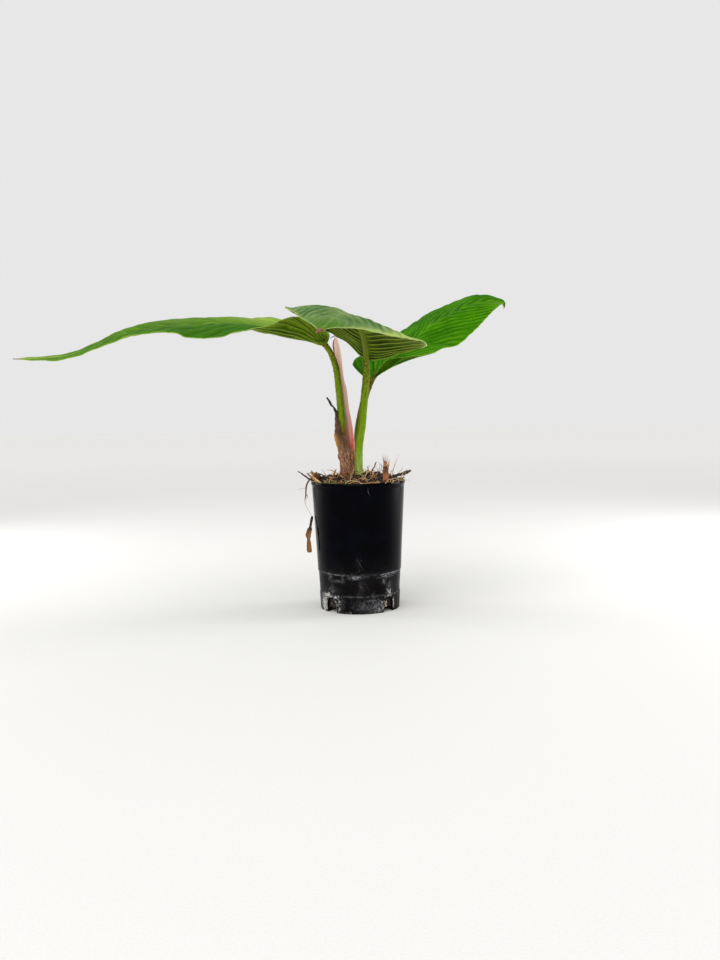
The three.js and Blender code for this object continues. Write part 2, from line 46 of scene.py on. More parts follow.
# The photograph's camera
FOCAL_PIXELS = 1000
IMAGE_HEIGHT = 960
SENSOR = 36.0
CAMERA_PLACE = (0.00162, -0.79405, 0.16928)
CAMERA_PITCH = 4.849          # degrees down
CAMERA_ROLL = -1.06           # degrees, right side of the picture up

FLOOR_REACH = 4000
WORLD_LIGHT = 0.66
WORLD_SEEN = 0.8
SUN_TOWARDS = (-0.55, -0.8, 1.1)
SUN_WIDTH = 60                # degrees
SUN_STRENGTH = 1.35
# Name, place, aim, width and height in metres, watts
AREA_LIGHTS = (
    ("front", (-0.35, -1.5, 0.4), (0, 0, 0.15), (1.4, 0.45), 9),
    ("side_left", (-0.7, 0.28, 0.16), (0, 0, 0.07), (0.34, 0.5), 2.4),
    ("side_right", (0.73, 0.2, 0.16), (0, 0, 0.07), (0.36, 0.5), 4.6),
)

# Pot, as the solid
POT_HEIGHT = 102.0
POT_TOP_RADIUS = 37.5
POT_FOOT_RADIUS = 31.3
POT_WALL = 1.4
POT_LIP = 0.8
POT_LIP_HEIGHT = 3.0
RIM_INSIDE = POT_TOP_RADIUS - POT_LIP - POT_WALL
STEP_HEIGHT = 31.0
STEP_DEPTH = 0.7
PLINTH_HEIGHT = 13.7
PLINTH_DEPTH = 0.4
WALL_OVER_TAPER = 0.2
FLOOR_LIFT = 2.0
FLOOR_THICKNESS = 1.6
NOTCH_WIDTH = 11.0
NOTCH_HEIGHT = 12.0
NOTCH_FROM_TO = (26.8, 35)
NOTCH_TURNS = (45, 135, 225, 315)
MARK_RADIUS = 33              # turns degrees round the wall into millimetres
OUTER_SHARE = 0.86            # of the points of the pot's section, those outside

MIX_EDGE = 99.6
MIX_CROWN = 104.8
STALKS_PLACE = (-5, 2)        # chips and fibres keep clear of it
CHIP_REACH = 35               # chips end before it and fine fibres lie over the rim beyond it
OVER_RIM = 102.5
SHORT_CHIP = 3.0
FEWER_LEFT_OF = -8            # fibres are shorter and fewer stand up on that side

# Blades in general; shares are of the length of an edge or of the midrib
LOBE_SHARE = 0.19             # the lobes reach back over this share of an edge
VEIN_REACH = 0.95             # the veins leave the midrib over this share
FIRST_VEIN_END = 0.04
LAST_VEIN_END = 0.995
RIB_HEIGHT = 1.1
RIB_TO_SPACING = 0.34
RIB_ABOVE = 0.7
RIB_BELOW = 0.95
VEIN_HEIGHT = 0.42
GROOVE_DEPTH = 0.7
WOBBLE = 0.35
BLADE_HALF = 0.26             # half the blade's thickness
MARGIN_RADIUS = 0.3
MERGE_WITHIN = 0.012

# Blades: points of the midrib, and of the edges 1 and -1 between the midrib's two ends, and
# veins: their number; vein_ends or sweep: where they leave the midrib and reach the edge
# keel: depth and half width of the midrib below; then the strength of the painted shade in the valleys between
# the ribs, on either side
# relief: height of the ribs; calm: from and to which share of the edge it falls to what; rim: its loss there
# arch: height of the blade's bend as a share of its width; bulge: how the bend runs from midrib to edge
LEAVES = {
    "left": {
        "veins": 20, "vein_ends": (
            [(0, 0.04), (0.15, 0.075), (0.3, 0.15), (0.4, 0.26), (0.5, 0.4), (0.6, 0.52), (0.8, 0.745),
             (1, 0.96)],
            [(0, 0.04), (0.15, 0.18), (0.3, 0.33), (0.4, 0.43), (0.5, 0.53), (0.6, 0.62), (0.8, 0.81),
             (1, 0.995)],
        ),
        "keel": (0.8, 2.2), "valleys": {1: 0.8, -1: 1.0},
        "relief": 1.6, "calm": (0.6, 0.85, 0.3), "rim": {1: 0.85, -1: 0.45},
        "midrib": [
            (-25, -2, 210), (-43, -8, 214), (-64, -15, 218), (-84, -22, 223), (-102, -28, 225),
            (-120, -34, 223), (-145, -43, 221), (-169, -51, 217), (-194, -58, 207), (-214, -63, 201),
            (-247, -69, 200),
        ],
        1: [
            (-21, -10, 212), (-22, -24, 217), (-30, -38, 222), (-42, -48, 228), (-55, -58, 224),
            (-64, -65, 220), (-79, -73, 217), (-101, -79, 211.3), (-118, -82, 212), (-129, -84, 216),
            (-155, -85, 214), (-179, -82, 207), (-205, -77, 199), (-224, -72, 198),
        ],
        -1: [
            (-21, 6, 214), (-24, 18, 222), (-45, 32, 230.5), (-59, 33.5, 231.5), (-73, 34, 234),
            (-86, 32, 233), (-102, 28, 234), (-125, 19, 232), (-150, 6, 230.5), (-177, -14, 223),
            (-199, -37, 210), (-217, -53, 202.5),
        ],
        "arch": {
            1: [(0, -0.04), (0.2, -0.05), (0.29, -0.01), (0.37, 0.04), (0.6, 0.03), (1, 0.03)],
            -1: [(0, 0), (0.5, 0.04), (1, 0.03)],
        },
    },
    "centre": {
        "veins": 21, "sweep": (1.9, 1.2), "keel": (1.9, 2.3), "valleys": {1: 0.6, -1: 0.9},
        "relief": 1.3, "calm": (0.54, 0.74, 0.28), "rim": {1: 0.8, -1: 0.75},
        "midrib": [
            (8, -14, 195), (8, -24, 202), (7, -36, 208), (5, -52, 216), (0, -73, 224), (-7, -100, 226),
            (-14, -130, 220), (-22, -166, 210),
        ],
        1: [
            (16, -4, 199), (27, 0, 204), (41, -8, 205), (52, -34, 205), (50, -62, 207), (41, -82, 208),
            (27, -101, 209), (10, -121, 212), (-6, -142, 213), (-16, -156, 212),
        ],
        -1: [
            (6.5, -4, 205), (-2, 0, 214), (-20, -6, 220.5), (-35, -24, 228), (-43, -37, 230), (-48, -50, 233),
            (-49, -80, 232), (-42, -102, 227), (-34, -123, 220), (-27, -144, 215),
        ],
        "arch": {
            1: [(0, -0.02), (0.3, -0.055), (0.45, -0.025), (0.6, 0.03), (0.8, 0.05), (1, 0.03)],
            -1: [
                (0, 0), (0.08, 0.06), (0.2, 0.085), (0.35, 0.05), (0.6, 0.08), (0.72, 0.055), (0.82, 0.02),
                (0.92, 0), (1, 0),
            ],
        },
        "bulge": {-1: [
            (0, 0), (0.14, 0.42), (0.25, 0.68), (0.36, 0.77), (0.47, 0.8), (0.58, 0.77), (0.66, 0.64),
            (0.74, 0.4), (0.8, 0.12), (0.86, -0.12), (0.93, -0.2), (1, 0),
        ]},
    },
    "right": {
        "veins": 18, "sweep": (2.0, 1.6), "keel": (0.8, 2.2), "valleys": {1: 0.75, -1: 0.55},
        "relief": 1.0, "calm": (0.8, 1.0, 1.0), "rim": {1: 0.5, -1: 0.6},
        "midrib": [
            (12, 10, 180.5), (18, 14, 188), (26, 21, 196), (35, 29, 204), (51, 44, 217), (68, 57, 230),
            (85, 70, 239), (104, 85, 247), (120, 94, 250), (130, 99, 249), (131, 101, 245),
        ],
        1: [
            (5.5, 16, 185), (-1.2, 24, 191.5), (-1.5, 34, 197.5), (7, 48, 203.5), (23, 64, 213),
            (36, 78, 221), (55, 94, 234), (68, 102, 242), (85, 109, 249), (100, 113, 255), (116, 112, 257),
            (126, 107, 253), (132, 102, 250),
        ],
        -1: [
            (17.5, 0, 188), (24, -8, 195.5), (34, -10, 197.5), (45, -6, 199), (59, 2, 201), (72, 12, 206),
            (82, 22, 208), (100, 46, 222), (115, 70, 236), (125, 88, 244), (130, 98, 247),
        ],
        "arch": {
            1: [(0, -0.03), (0.5, 0), (1, 0.02)],
            -1: [(0, 0.0), (0.12, 0.015), (0.25, 0.005), (0.42, -0.012), (0.6, 0.03), (1, 0.02)],
        },
    },
}
# Stalks: path up to the blade, then the shares of its midrib that they end along
STALKS = {
    "left": {
        "path": [
            (-8.8, 0, 98), (-10.3, 0, 130), (-11.6, -1, 146), (-12.5, -1, 160), (-13.5, -1, 173),
            (-15.3, -2, 189), (-17.4, -2, 197), (-20.2, -1.8, 204),
        ],
        "radii": [(0, 3.3), (0.3, 3.1), (0.55, 2.85), (0.7, 2.4), (0.85, 2.2), (0.93, 2.1), (1, 0.9)],
        "along_midrib": (0, 0.02, 0.05),
    },
    "centre": {
        "path": [(1, -6, 98), (1, -7, 126), (4, -8, 146), (6, -9, 165), (7.8, -10.8, 181), (8.1, -12.2, 189)],
        "radii": [(0, 3.3), (0.25, 3.2), (0.5, 3.0), (0.75, 2.8), (0.83, 2.6), (0.93, 2.0), (1, 1.1)],
        "along_midrib": (0.02, 0.07, 0.12),
    },
    "right": {
        "path": [(1.5, 12, 98), (0.5, 12, 125), (1, 12, 141), (3.8, 11.6, 156), (7.4, 10.2, 169)],
        "radii": [(0, 3.2), (0.4, 3.0), (0.7, 2.7), (0.85, 2.4), (0.93, 1.9), (1, 0.9)],
        "along_midrib": (0, 0.04, 0.09),
    },
}


# Numbers and lines
def smoothstep(low, high, x):
    t = np.clip((x - low) / (high - low), 0, 1)
    return t * t * (3 - 2 * t)


def lerp(a, b, t):
    return a + (b - a) * t


def bell(x, centre, width):
    """1 where x is at the centre, falling off smoothly on both sides."""
    return np.exp(-(((x - centre) / width) ** 2))


def keyed(keys, t):
    places, values = zip(*keys)
    return np.interp(t, places, values)


def drawn(keys, t):
    """A smooth line through keyed values."""
    line = Curve([(place, value, 0) for place, value in keys]).line
    return np.interp(t, line[:, 0], line[:, 1])


def unit(vectors):
    return vectors / np.maximum(np.linalg.norm(vectors, axis=-1, keepdims=True), 1e-9)


def xyz(x, y=0.0, z=0.0):
    """Points from their three parts, which are arrays or numbers."""
    return np.stack(np.broadcast_arrays(x, y, z), -1)


def polar(radius, turn, z=0.0):
    return xyz(radius * np.cos(turn), radius * np.sin(turn), z)


def full_turn(sides):
    return np.arange(sides) * TURN / sides


def lumps(points, size, seed):
    """A smooth random value, about -1 to 1, at each point; size is the width of a lump."""
    random = np.random.default_rng(seed)
    total = np.zeros(np.shape(points)[:-1])
    for _ in range(8):
        wave = unit(random.normal(size=3)) * TURN / (size * random.uniform(0.8, 2.2))
        total += np.sin(points @ wave + random.uniform(0, TURN))
    return total / 3


class Curve:
    """A smooth line through points, read by its share of length from 0 to 1."""

    def __init__(self, points):
        p = np.array(points, float)
        p = np.vstack([2 * p[0] - p[1], p, 2 * p[-1] - p[-2]])
        u = np.linspace(0, 1, 48, endpoint=False)[:, None]
        spans = [
            0.5 * (2 * b + (c - a) * u + (2 * a - 5 * b + 4 * c - d) * u**2 + (3 * b - a - 3 * c + d) * u**3)
            for a, b, c, d in zip(p, p[1:], p[2:], p[3:])
        ]
        self.line = np.vstack(spans + [p[-2:-1]])
        steps = np.linalg.norm(np.diff(self.line, axis=0), axis=1)
        distance = np.concatenate([[0], np.cumsum(steps)])
        self.length = distance[-1]
        self.share = distance / self.length

    def at(self, t):
        return np.stack([np.interp(t, self.share, self.line[:, k]) for k in range(3)], -1)

    def ahead(self, t):
        return unit(self.at(np.clip(t + 0.006, 0, 1)) - self.at(np.clip(t - 0.006, 0, 1)))


# Meshes
def grid_quads(rows, columns, wrap=False):
    """Faces of a grid of rows by columns points, closed round its columns where wrap is true."""
    i, j = np.meshgrid(np.arange(rows - 1), np.arange(columns if wrap else columns - 1), indexing="ij")
    k = (j + 1) % columns
    quads = np.stack([i * columns + j, i * columns + k, (i + 1) * columns + k, (i + 1) * columns + j], -1)
    return quads.reshape(-1, 4)


def closed_rings(rings, first, last):
    """Points and faces of a round body: its rings, and a middle point at either end."""
    count, sides = rings.shape[:2]
    k = np.arange(sides)
    n = (k + 1) % sides
    end = (count - 1) * sides
    caps = [
        np.stack([np.full(sides, count * sides), n, k], -1),
        np.stack([np.full(sides, count * sides + 1), end + k, end + n], -1),
    ]
    return np.vstack([rings.reshape(-1, 3), first, last]), [grid_quads(count, sides, wrap=True)] + caps


def slab_faces(rows, columns, ends=True):
    """Faces of a grid, of its copy behind it, and of the strips between their borders."""
    count = rows * columns
    quads = grid_quads(rows, columns)
    row = np.arange(rows - 1) * columns
    left = np.stack([row, row + columns, row + columns + count, row + count], -1)
    faces = [quads, quads[:, ::-1] + count, left, left[:, ::-1] + (columns - 1)]
    if ends:
        k = np.arange(columns - 1)
        faces.append(np.stack([k, k + count, k + 1 + count, k + 1], -1))
        faces.append(np.stack([k, k + 1, k + 1 + count, k + count], -1) + (rows - 1) * columns)
    return faces


class Body:
    """Gathers shapes into one mesh, with a number for each point under each name, and a vector under streak."""

    def __init__(self, *names):
        self.points, self.faces, self.count = [], [], 0
        self.values = {name: [] for name in names}

    def add(self, points, faces, **values):
        """Faces are a list of arrays; a value is one for all points or one for each."""
        points = np.asarray(points, float).reshape(-1, 3)
        self.points.append(points)
        for group in faces:
            self.faces.extend((np.asarray(group) + self.count).tolist())
        for name, parts in self.values.items():
            shape = (len(points), 3) if name == "streak" else len(points)
            value = np.asarray(values.get(name, 0.0), float)
            parts.append(value.reshape(shape) if value.ndim else np.broadcast_to(value, shape))
        self.count += len(points)


def tube(path, radii, sides, steps, swell=None):
    """Points, faces, share along and angle round of a round rod along a path."""
    line = path if isinstance(path, Curve) else Curve(path)
    t = np.linspace(0, 1, steps + 1)
    ahead = line.ahead(t)
    across = np.zeros_like(ahead)
    axis = np.array([1.0, 0, 0]) if abs(ahead[0][0]) < 0.9 else np.array([0, 1.0, 0])
    for i, a in enumerate(ahead):
        axis = unit(axis - a * (axis @ a))
        across[i] = axis
    third = np.cross(ahead, across)
    along, around = np.meshgrid(t, full_turn(sides), indexing="ij")
    radius = np.interp(along, np.linspace(0, 1, len(radii)), radii)
    if swell is not None:
        radius = radius * swell(along, around)
    out = np.cos(around)[..., None] * across[:, None] + np.sin(around)[..., None] * third[:, None]
    points, faces = closed_rings(line.at(t)[:, None] + radius[..., None] * out, line.at(0.0), line.at(1.0))
    return points, faces, np.append(along, [0, 1]), np.append(around, [0, 0])


def add_rod(body, path, radii, tone, sides, steps, grain=0.4):
    points, faces, _, _ = tube(path, radii, sides, steps)
    body.add(points, faces, tone=tone, streak=points * grain)


def make_sheet(body, place, rows, columns, thickness, **rules):
    """A thin closed sheet; place and the rules give points and values for shares down and across it."""
    down, over = np.meshgrid(np.linspace(0, 1, rows), np.linspace(0, 1, columns), indexing="ij")
    points = place(down, over)
    half = unit(np.cross(np.gradient(points, axis=0), np.gradient(points, axis=1))) * thickness / 2
    values = {key: np.stack([rule(down, over)] * 2) for key, rule in rules.items()}
    body.add([points + half, points - half], slab_faces(rows, columns), **values)


def new_mesh(name, points, faces):
    mesh = bpy.data.meshes.new(name)
    mesh.from_pydata((np.asarray(points) * MM).tolist(), [], faces)
    return mesh


def new_object(name, data):
    obj = bpy.data.objects.new(name, data)
    bpy.context.scene.collection.objects.link(obj)
    return obj


def add_piece(name, body, material, replaces=(), smooth=True, merge=0.0):
    """Makes one Blender object of a Body; it rides on the part's only body."""
    mesh = new_mesh(name, np.vstack(body.points), body.faces)
    for key, arrays in body.values.items():
        value = np.concatenate(arrays)
        kind, member = ("FLOAT_VECTOR", "vector") if value.ndim == 2 else ("FLOAT", "value")
        attribute = mesh.attributes.new(key, kind, "POINT")
        attribute.data.foreach_set(member, value.astype(np.float32).ravel())
    if merge:
        work = bmesh.new()
        work.from_mesh(mesh)
        bmesh.ops.remove_doubles(work, verts=work.verts, dist=merge * MM)
        bmesh.ops.recalc_face_normals(work, faces=work.faces)
        work.to_mesh(mesh)
        work.free()
    mesh.polygons.foreach_set("use_smooth", np.full(len(mesh.polygons), smooth))
    mesh.materials.append(material)
    obj = new_object(name, mesh)
    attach(obj, "root")
    if replaces:
        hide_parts(*replaces)
    return obj


# Materials
def linear(colour):
    """A linear colour from three display values of 0 to 255; a colour of four numbers is linear already."""
    if len(colour) == 4:
        return colour
    shares = (value / 255 for value in colour)
    return (*(s / 12.92 if s <= 0.04045 else ((s + 0.055) / 1.055) ** 2.4 for s in shares), 1.0)


class Finish:
    """A node material, built by short calls that return sockets. A string stands for that value of the mesh."""

    def __init__(self, name):
        self.material = bpy.data.materials.new(name)
        self.material.use_nodes = True
        self.tree = self.material.node_tree
        self.place = self.node("ShaderNodeTexCoord").outputs["Object"]

    def node(self, kind, **settings):
        node = self.tree.nodes.new(kind)
        for key, value in settings.items():
            setattr(node, key, value)
        return node

    def attribute(self, name, output):
        return self.node("ShaderNodeAttribute", attribute_name=name).outputs[output]

    def feed(self, socket, value):
        if isinstance(value, str):
            value = self.attribute(value, "Fac")
        if isinstance(value, bpy.types.NodeSocket):
            self.tree.links.new(value, socket)
        else:
            socket.default_value = linear(value) if isinstance(value, tuple) else value

    def noise(self, scale, detail, roughness=0.55, at=None, stretch=None):
        """Noise of 0 to 1; scale is lumps per metre, or per unit of the vector that at names."""
        node = self.node("ShaderNodeTexNoise")
        source = self.attribute(at, "Vector") if at else self.place
        if stretch:
            mapping = self.node("ShaderNodeMapping")
            self.feed(mapping.inputs["Vector"], source)
            mapping.inputs["Scale"].default_value = stretch
            source = mapping.outputs["Vector"]
        for name, value in (("Vector", source), ("Scale", scale), ("Detail", detail), ("Roughness", roughness)):
            self.feed(node.inputs[name], value)
        return node.outputs["Fac"]

    def cells(self, scale):
        node = self.node("ShaderNodeTexVoronoi")
        self.feed(node.inputs["Vector"], self.place)
        self.feed(node.inputs["Scale"], scale)
        return node.outputs["Distance"]

    def math(self, operation, *values):
        node = self.node("ShaderNodeMath", operation=operation)
        for socket, value in zip(node.inputs, values):
            self.feed(socket, value)
        return node.outputs[0]

    def times(self, a, b):
        return self.math("MULTIPLY", a, b)

    def plus(self, a, b):
        return self.math("ADD", a, b)

    def span(self, value, low, high, to_low=0.0, to_high=1.0):
        """Maps low..high smoothly to to_low..to_high and clamps it."""
        node = self.node("ShaderNodeMapRange", interpolation_type="SMOOTHSTEP")
        for socket, number in zip(node.inputs, (value, low, high, to_low, to_high)):
            self.feed(socket, number)
        return node.outputs[0]

    def mix(self, share, a, b, blend="MIX"):
        node = self.node("ShaderNodeMix", data_type="RGBA", blend_type=blend)
        for key, value in (("Factor", share), (6, a), (7, b)):
            self.feed(node.inputs[key], value)
        return node.outputs[2]

    def coats(self, colour, *coats):
        """Mixes coats over a colour; each is a share and a colour, and a blend if it isn't a plain mix."""
        for share, coat, *blend in coats:
            colour = self.mix(share, colour, coat, *blend)
        return colour

    def ramp(self, share, stops):
        node = self.node("ShaderNodeValToRGB")
        elements = node.color_ramp.elements
        while len(elements) < len(stops):
            elements.new(0.5)
        for element, (place, colour) in zip(elements, stops):
            element.position = place
            element.color = linear(colour)
        self.feed(node.inputs["Fac"], share)
        return node.outputs["Color"]

    def bump(self, height, distance, strength, under=None):
        node = self.node("ShaderNodeBump")
        for name, value in (("Strength", strength), ("Distance", distance * MM), ("Height", height)):
            self.feed(node.inputs[name], value)
        if under is not None:
            self.feed(node.inputs["Normal"], under)
        return node.outputs["Normal"]

    def done(self, colour, roughness, normal=None, specular=0.5, glow=()):
        """Ends the material; glow is weight, radius and scale of the light that goes in under the skin."""
        inputs = self.tree.nodes["Principled BSDF"].inputs
        self.feed(inputs["Base Color"], colour)
        self.feed(inputs["Roughness"], roughness)
        if normal is not None:
            self.feed(inputs["Normal"], normal)
        inputs["Specular IOR Level"].default_value = specular
        for name, value in zip(("Weight", "Radius", "Scale"), glow):
            inputs["Subsurface " + name].default_value = value
        return self.material


def leaf_finish(
    name, top, top_low, painted_valley_shade, ridge_highlight, fresh, under, under_low, vein_under, keel, margin, lines,
    specular,
):
    """Blade skin; lines give strength and width of the midrib's line above, and strength of veins below."""
    f = Finish(name)
    line_strength, line_width, small_veins = lines
    phase = f.times("phase", math.pi)
    ridge = f.math("ABSOLUTE", f.math("SINE", phase))
    minor = f.math("ABSOLUTE", f.math("COSINE", phase))
    patches = f.noise(44, 4)
    speckle = f.noise(900, 3)
    along_vein = f.noise(90, 4)
    valley_shade = f.times(f.span(ridge, 0.62, 0.0), "deep")
    light = f.span(f.times(ridge, along_vein), 0.36, 0.62, 0.0, 0.6)
    # Above, painted shade darkens the valleys between the ribs and a painted highlight lightens the ridges
    face = f.coats(
        f.mix(f.span(patches, 0.35, 0.68), top_low, top),
        # pale marks pale patches, and on the centre leaf's top also a painted sheen
        ("pale", margin),
        ("fresh", fresh),
        (f.times(valley_shade, f.span(along_vein, 0.3, 0.6, 0.45, 1.0)), painted_valley_shade, "MULTIPLY"),
        (f.times(light, f.span("fresh", 0.1, 0.8, 1.0, 0.25)), ridge_highlight),
        (f.span("from_midrib", line_width, line_width * 0.4, 0.0, line_strength), margin),
    )
    # Below, the underside's colours are kept dark as painted shade, and the hollows beside the veins are darker
    # still, also painted shade
    back = f.coats(
        f.mix(f.span(patches, 0.3, 0.7), under_low, under),
        (f.span(ridge, 0.8, 0.2, 0.0, 0.75), under_low),
        (f.span(minor, 0.22, 0.06, 0.0, small_veins), vein_under),
        (f.span(ridge, 0.2, 0.04, 0.0, 0.85), vein_under),
        (f.span("from_midrib", 2.6, 1.2, 0.0, 0.85), keel),
        (f.times("pale", 0.15), margin),
    )
    colour = f.coats(
        f.mix("under", face, back),
        ("shade", (0.5, 0.62, 0.3, 1), "MULTIPLY"),
        (f.span("across", 0.985, 0.999, 0.0, 0.6), margin),
        (f.span(speckle, 0.3, 0.7, 0.0, 0.18), under_low),
        ("dry", f.mix(f.span(speckle, 0.35, 0.65), (150, 150, 92), (204, 204, 152))),
        ("blush", f.mix(f.span(along_vein, 0.35, 0.6), (84, 54, 42), (150, 100, 82))),
    )
    height = f.plus(f.noise(420, 3), f.times(f.noise(1400, 2), 0.5))
    return f.done(
        colour, f.span(along_vein, 0.3, 0.7, 0.5, 0.64), f.bump(height, 0.12, 0.35), specular,
        (0.12, (0.6, 1.2, 0.2), 0.0012),
    )


def stalk_finish():
    """Lime green below, olive and rough with pale scurf towards the leaf."""
    f = Finish("stalk")
    streak = f.noise(2.2, 5, at="streak")
    fine = f.noise(1500, 3)
    scurf = f.times(f.span(f.cells(560), 0.38, 0.18), f.span("along", 0.35, 0.95, 0.1, 0.8))
    mottle = f.times(f.span(f.noise(700, 3), 0.5, 0.6), f.span("along", 0.3, 0.9, 0.1, 0.75))
    greens = [
        (0.05, (160, 176, 96)), (0.26, (110, 142, 16)), (0.5, (106, 136, 6)), (0.78, (106, 126, 8)),
        (1.0, (132, 142, 20)),
    ]
    colour = f.coats(
        f.ramp("along", greens),
        (f.span(streak, 0.42, 0.66, 0.0, 0.5), (84, 114, 6)),
        (f.times("shade", f.span(streak, 0.2, 0.6, 0.7, 1.0)), (68, 74, 8)),
        ("brown", (104, 66, 22)),
        (scurf, (156, 156, 66)),
        (mottle, (58, 62, 12)),
    )
    height = f.plus(f.plus(f.times(streak, 0.7), f.times(fine, 0.5)), f.times(scurf, 0.6))
    return f.done(
        colour, f.span(fine, 0.3, 0.7, 0.42, 0.62), f.bump(height, 0.3, 0.8), 0.06,
        (0.1, (0.8, 1.2, 0.3), 0.001),
    )


def new_sheath_finish():
    """Waxy: peach at the tip, grey rose lower down, deep red at its base."""
    f = Finish("sheath_new")
    streak = f.noise(2.6, 5, at="streak")
    pinks = [
        (0.0, (122, 44, 30)), (0.28, (222, 132, 120)), (0.45, (184, 146, 134)), (0.68, (216, 174, 156)),
        (0.85, (255, 206, 186)), (1.0, (255, 212, 194)),
    ]
    colour = f.coats(
        f.ramp("along", pinks),
        (f.span(streak, 0.45, 0.7, 0.0, 0.25), (214, 172, 152)),
        ("blush", (184, 58, 44)),
        ("shade", (84, 46, 22)),
    )
    return f.done(
        colour, f.span(streak, 0.3, 0.7, 0.32, 0.5), f.bump(streak, 0.25, 0.8), 0.3,
        (0.1, (1.4, 0.7, 0.5), 0.0012),
    )


def dry_finish():
    """Dry paper: dark and tan stripes along it."""
    f = Finish("sheath_dry")
    stripe = f.noise(2.2, 6, 0.66, at="streak")
    lines = f.noise(7.0, 3, 0.5, at="streak")
    grain = f.noise(1300, 4)
    browns = [(0.3, (40, 18, 10)), (0.42, (102, 58, 38)), (0.52, (152, 100, 68)), (0.64, (218, 178, 138))]
    colour = f.coats(
        f.ramp(stripe, browns),
        (f.span(lines, 0.5, 0.62, 0.0, 0.75), (58, 32, 22)),
        (f.span(lines, 0.44, 0.36, 0.0, 0.8), (222, 190, 152)),
        ("dark", (58, 36, 22)),
        ("blush", (206, 140, 50)),
        ("shade", (26, 14, 10)),
        (f.span(grain, 0.4, 0.7, 0.0, 0.3), (60, 34, 22)),
    )
    height = f.plus(f.plus(stripe, lines), f.times(grain, 0.3))
    return f.done(colour, f.span(grain, 0.3, 0.7, 0.6, 0.85), f.bump(height, 0.5, 0.9), 0.25)


def bark_finish(name, stops, moss=None):
    """Bark, husk or chips: a colour for each piece, streaked along it."""
    f = Finish(name)
    grain = f.noise(1100, 5, 0.65)
    streak = f.noise(3.0, 5, 0.6, at="streak")
    colour = f.ramp(f.plus("tone", f.span(streak, 0.3, 0.7, -0.14, 0.14)), stops)
    colour = f.mix(f.span(grain, 0.42, 0.75, 0.0, 0.5), colour, (30, 19, 12))
    if moss:
        colour = f.mix("moss", colour, moss)
    return f.done(colour, f.span(grain, 0.3, 0.7, 0.7, 0.92), f.bump(f.plus(streak, grain), 0.5, 0.9))


def add_bark(name, body, stops, replaces=(), smooth=True, moss=None):
    add_piece(name, body, bark_finish(name, stops, moss), replaces, smooth)


def soil_finish():
    """Damp dark mix between the chips."""
    f = Finish("soil")
    grain = f.noise(600, 6, 0.7)
    colour = f.coats(
        f.ramp(grain, [(0.35, (8, 5, 4)), (0.5, (24, 15, 10)), (0.62, (48, 31, 20)), (0.74, (84, 58, 36))]),
        (f.span(f.cells(700), 0.25, 0.6, 0.0, 0.6), (14, 9, 7)),
        ("moss", (86, 92, 30)),
        # dark paints shade on the plug's side low down, seen behind the notches
        ("dark", (10, 6, 4)),
    )
    return f.done(colour, f.span(grain, 0.3, 0.7, 0.75, 0.95), f.bump(grain, 1.2, 1.0))


def pot_finish():
    """Black plastic: glossy above, a dusty film low down, white crust round the notches."""
    f = Finish("pot")
    place = f.node("ShaderNodeSeparateXYZ")
    f.feed(place.inputs[0], f.place)
    z = place.outputs[2]
    cloud = f.noise(70, 4, 0.6)
    fine = f.noise(520, 6, 0.7)
    grit = f.noise(1500, 3, 0.6)
    scuff = f.noise(160, 4, 0.6, stretch=(1, 1, 0.25))
    film = f.times(f.span(z, 0.05, 0.024), f.span(cloud, 0.32, 0.62, 0.4, 1.0))
    smear = f.times(f.span(scuff, 0.52, 0.72), f.span(z, 0.04, 0.004, 0.0, 0.5))
    # dust, and on the bold lines along the step a painted highlight of its edge
    dust = f.times("dust", f.span(fine, 0.4, 0.62, 0.05, 1.0))
    crust = f.span(f.plus("crust", f.span(fine, 0.25, 0.75, -0.5, 0.5)), 0.26, 0.86)
    crust = f.times(crust, f.span("crust", 0.06, 0.3))
    specks = f.times(f.span(f.cells(120), 0.05, 0.02), f.span(cloud, 0.52, 0.62))
    colour = f.coats(
        f.mix(f.span(cloud, 0.4, 0.7), (0, 0, 2), (1, 2, 8)),
        (f.times(film, 0.5), (24, 21, 20)),
        (f.times(smear, 0.7), (96, 94, 92)),
        (f.times(dust, 0.8), (138, 140, 144)),
        (crust, f.mix(f.span(grit, 0.35, 0.65), (98, 95, 90), (192, 189, 184))),
        (f.times(specks, 0.45), (120, 124, 130)),
    )
    rough = f.plus(f.span(cloud, 0.3, 0.7, 0.04, 0.09), f.times(film, 0.3))
    rough = f.math("MINIMUM", f.plus(rough, f.times(f.plus(crust, dust), 0.6)), 0.95)
    relief = f.plus(crust, f.times(f.times(grit, crust), 0.8))
    return f.done(colour, rough, f.bump(relief, 0.35, 0.8, f.bump(scuff, 0.05, 0.35)), 0.035)


def stem_finish():
    f = Finish("rhizome")
    grain = f.noise(900, 4)
    colour = f.mix(f.span(grain, 0.3, 0.7), (90, 72, 44), (134, 112, 72))
    return f.done(colour, f.span(grain, 0.3, 0.7, 0.67, 0.83), f.bump(grain, 0.3, 0.7))


def floor_finish():
    """Pale, and a little paler far away."""
    f = Finish("floor")
    far = f.node("ShaderNodeVectorMath", operation="LENGTH")
    f.feed(far.inputs[0], f.place)
    colour = f.mix(f.span(f.noise(900, 2), 0.3, 0.7), (225, 224, 222), (229, 228, 226))
    colour = f.mix(f.span(far.outputs["Value"], 0.7, 2.2), colour, (235, 234, 232))
    return f.done(colour, 0.7, specular=0.2)


# Camera, floor and light
def make_camera():
    data = bpy.data.cameras.new("camera")
    data.sensor_width = SENSOR
    data.lens = FOCAL_PIXELS / IMAGE_HEIGHT * SENSOR
    data.clip_start = 0.01
    camera = new_object("camera", data)
    tilt = Matrix.Rotation(math.radians(90 - CAMERA_PITCH), 4, "X")
    roll = Matrix.Rotation(math.radians(CAMERA_ROLL), 4, "Z")
    camera.matrix_world = Matrix.Translation(CAMERA_PLACE) @ tilt @ roll
    bpy.context.scene.camera = camera


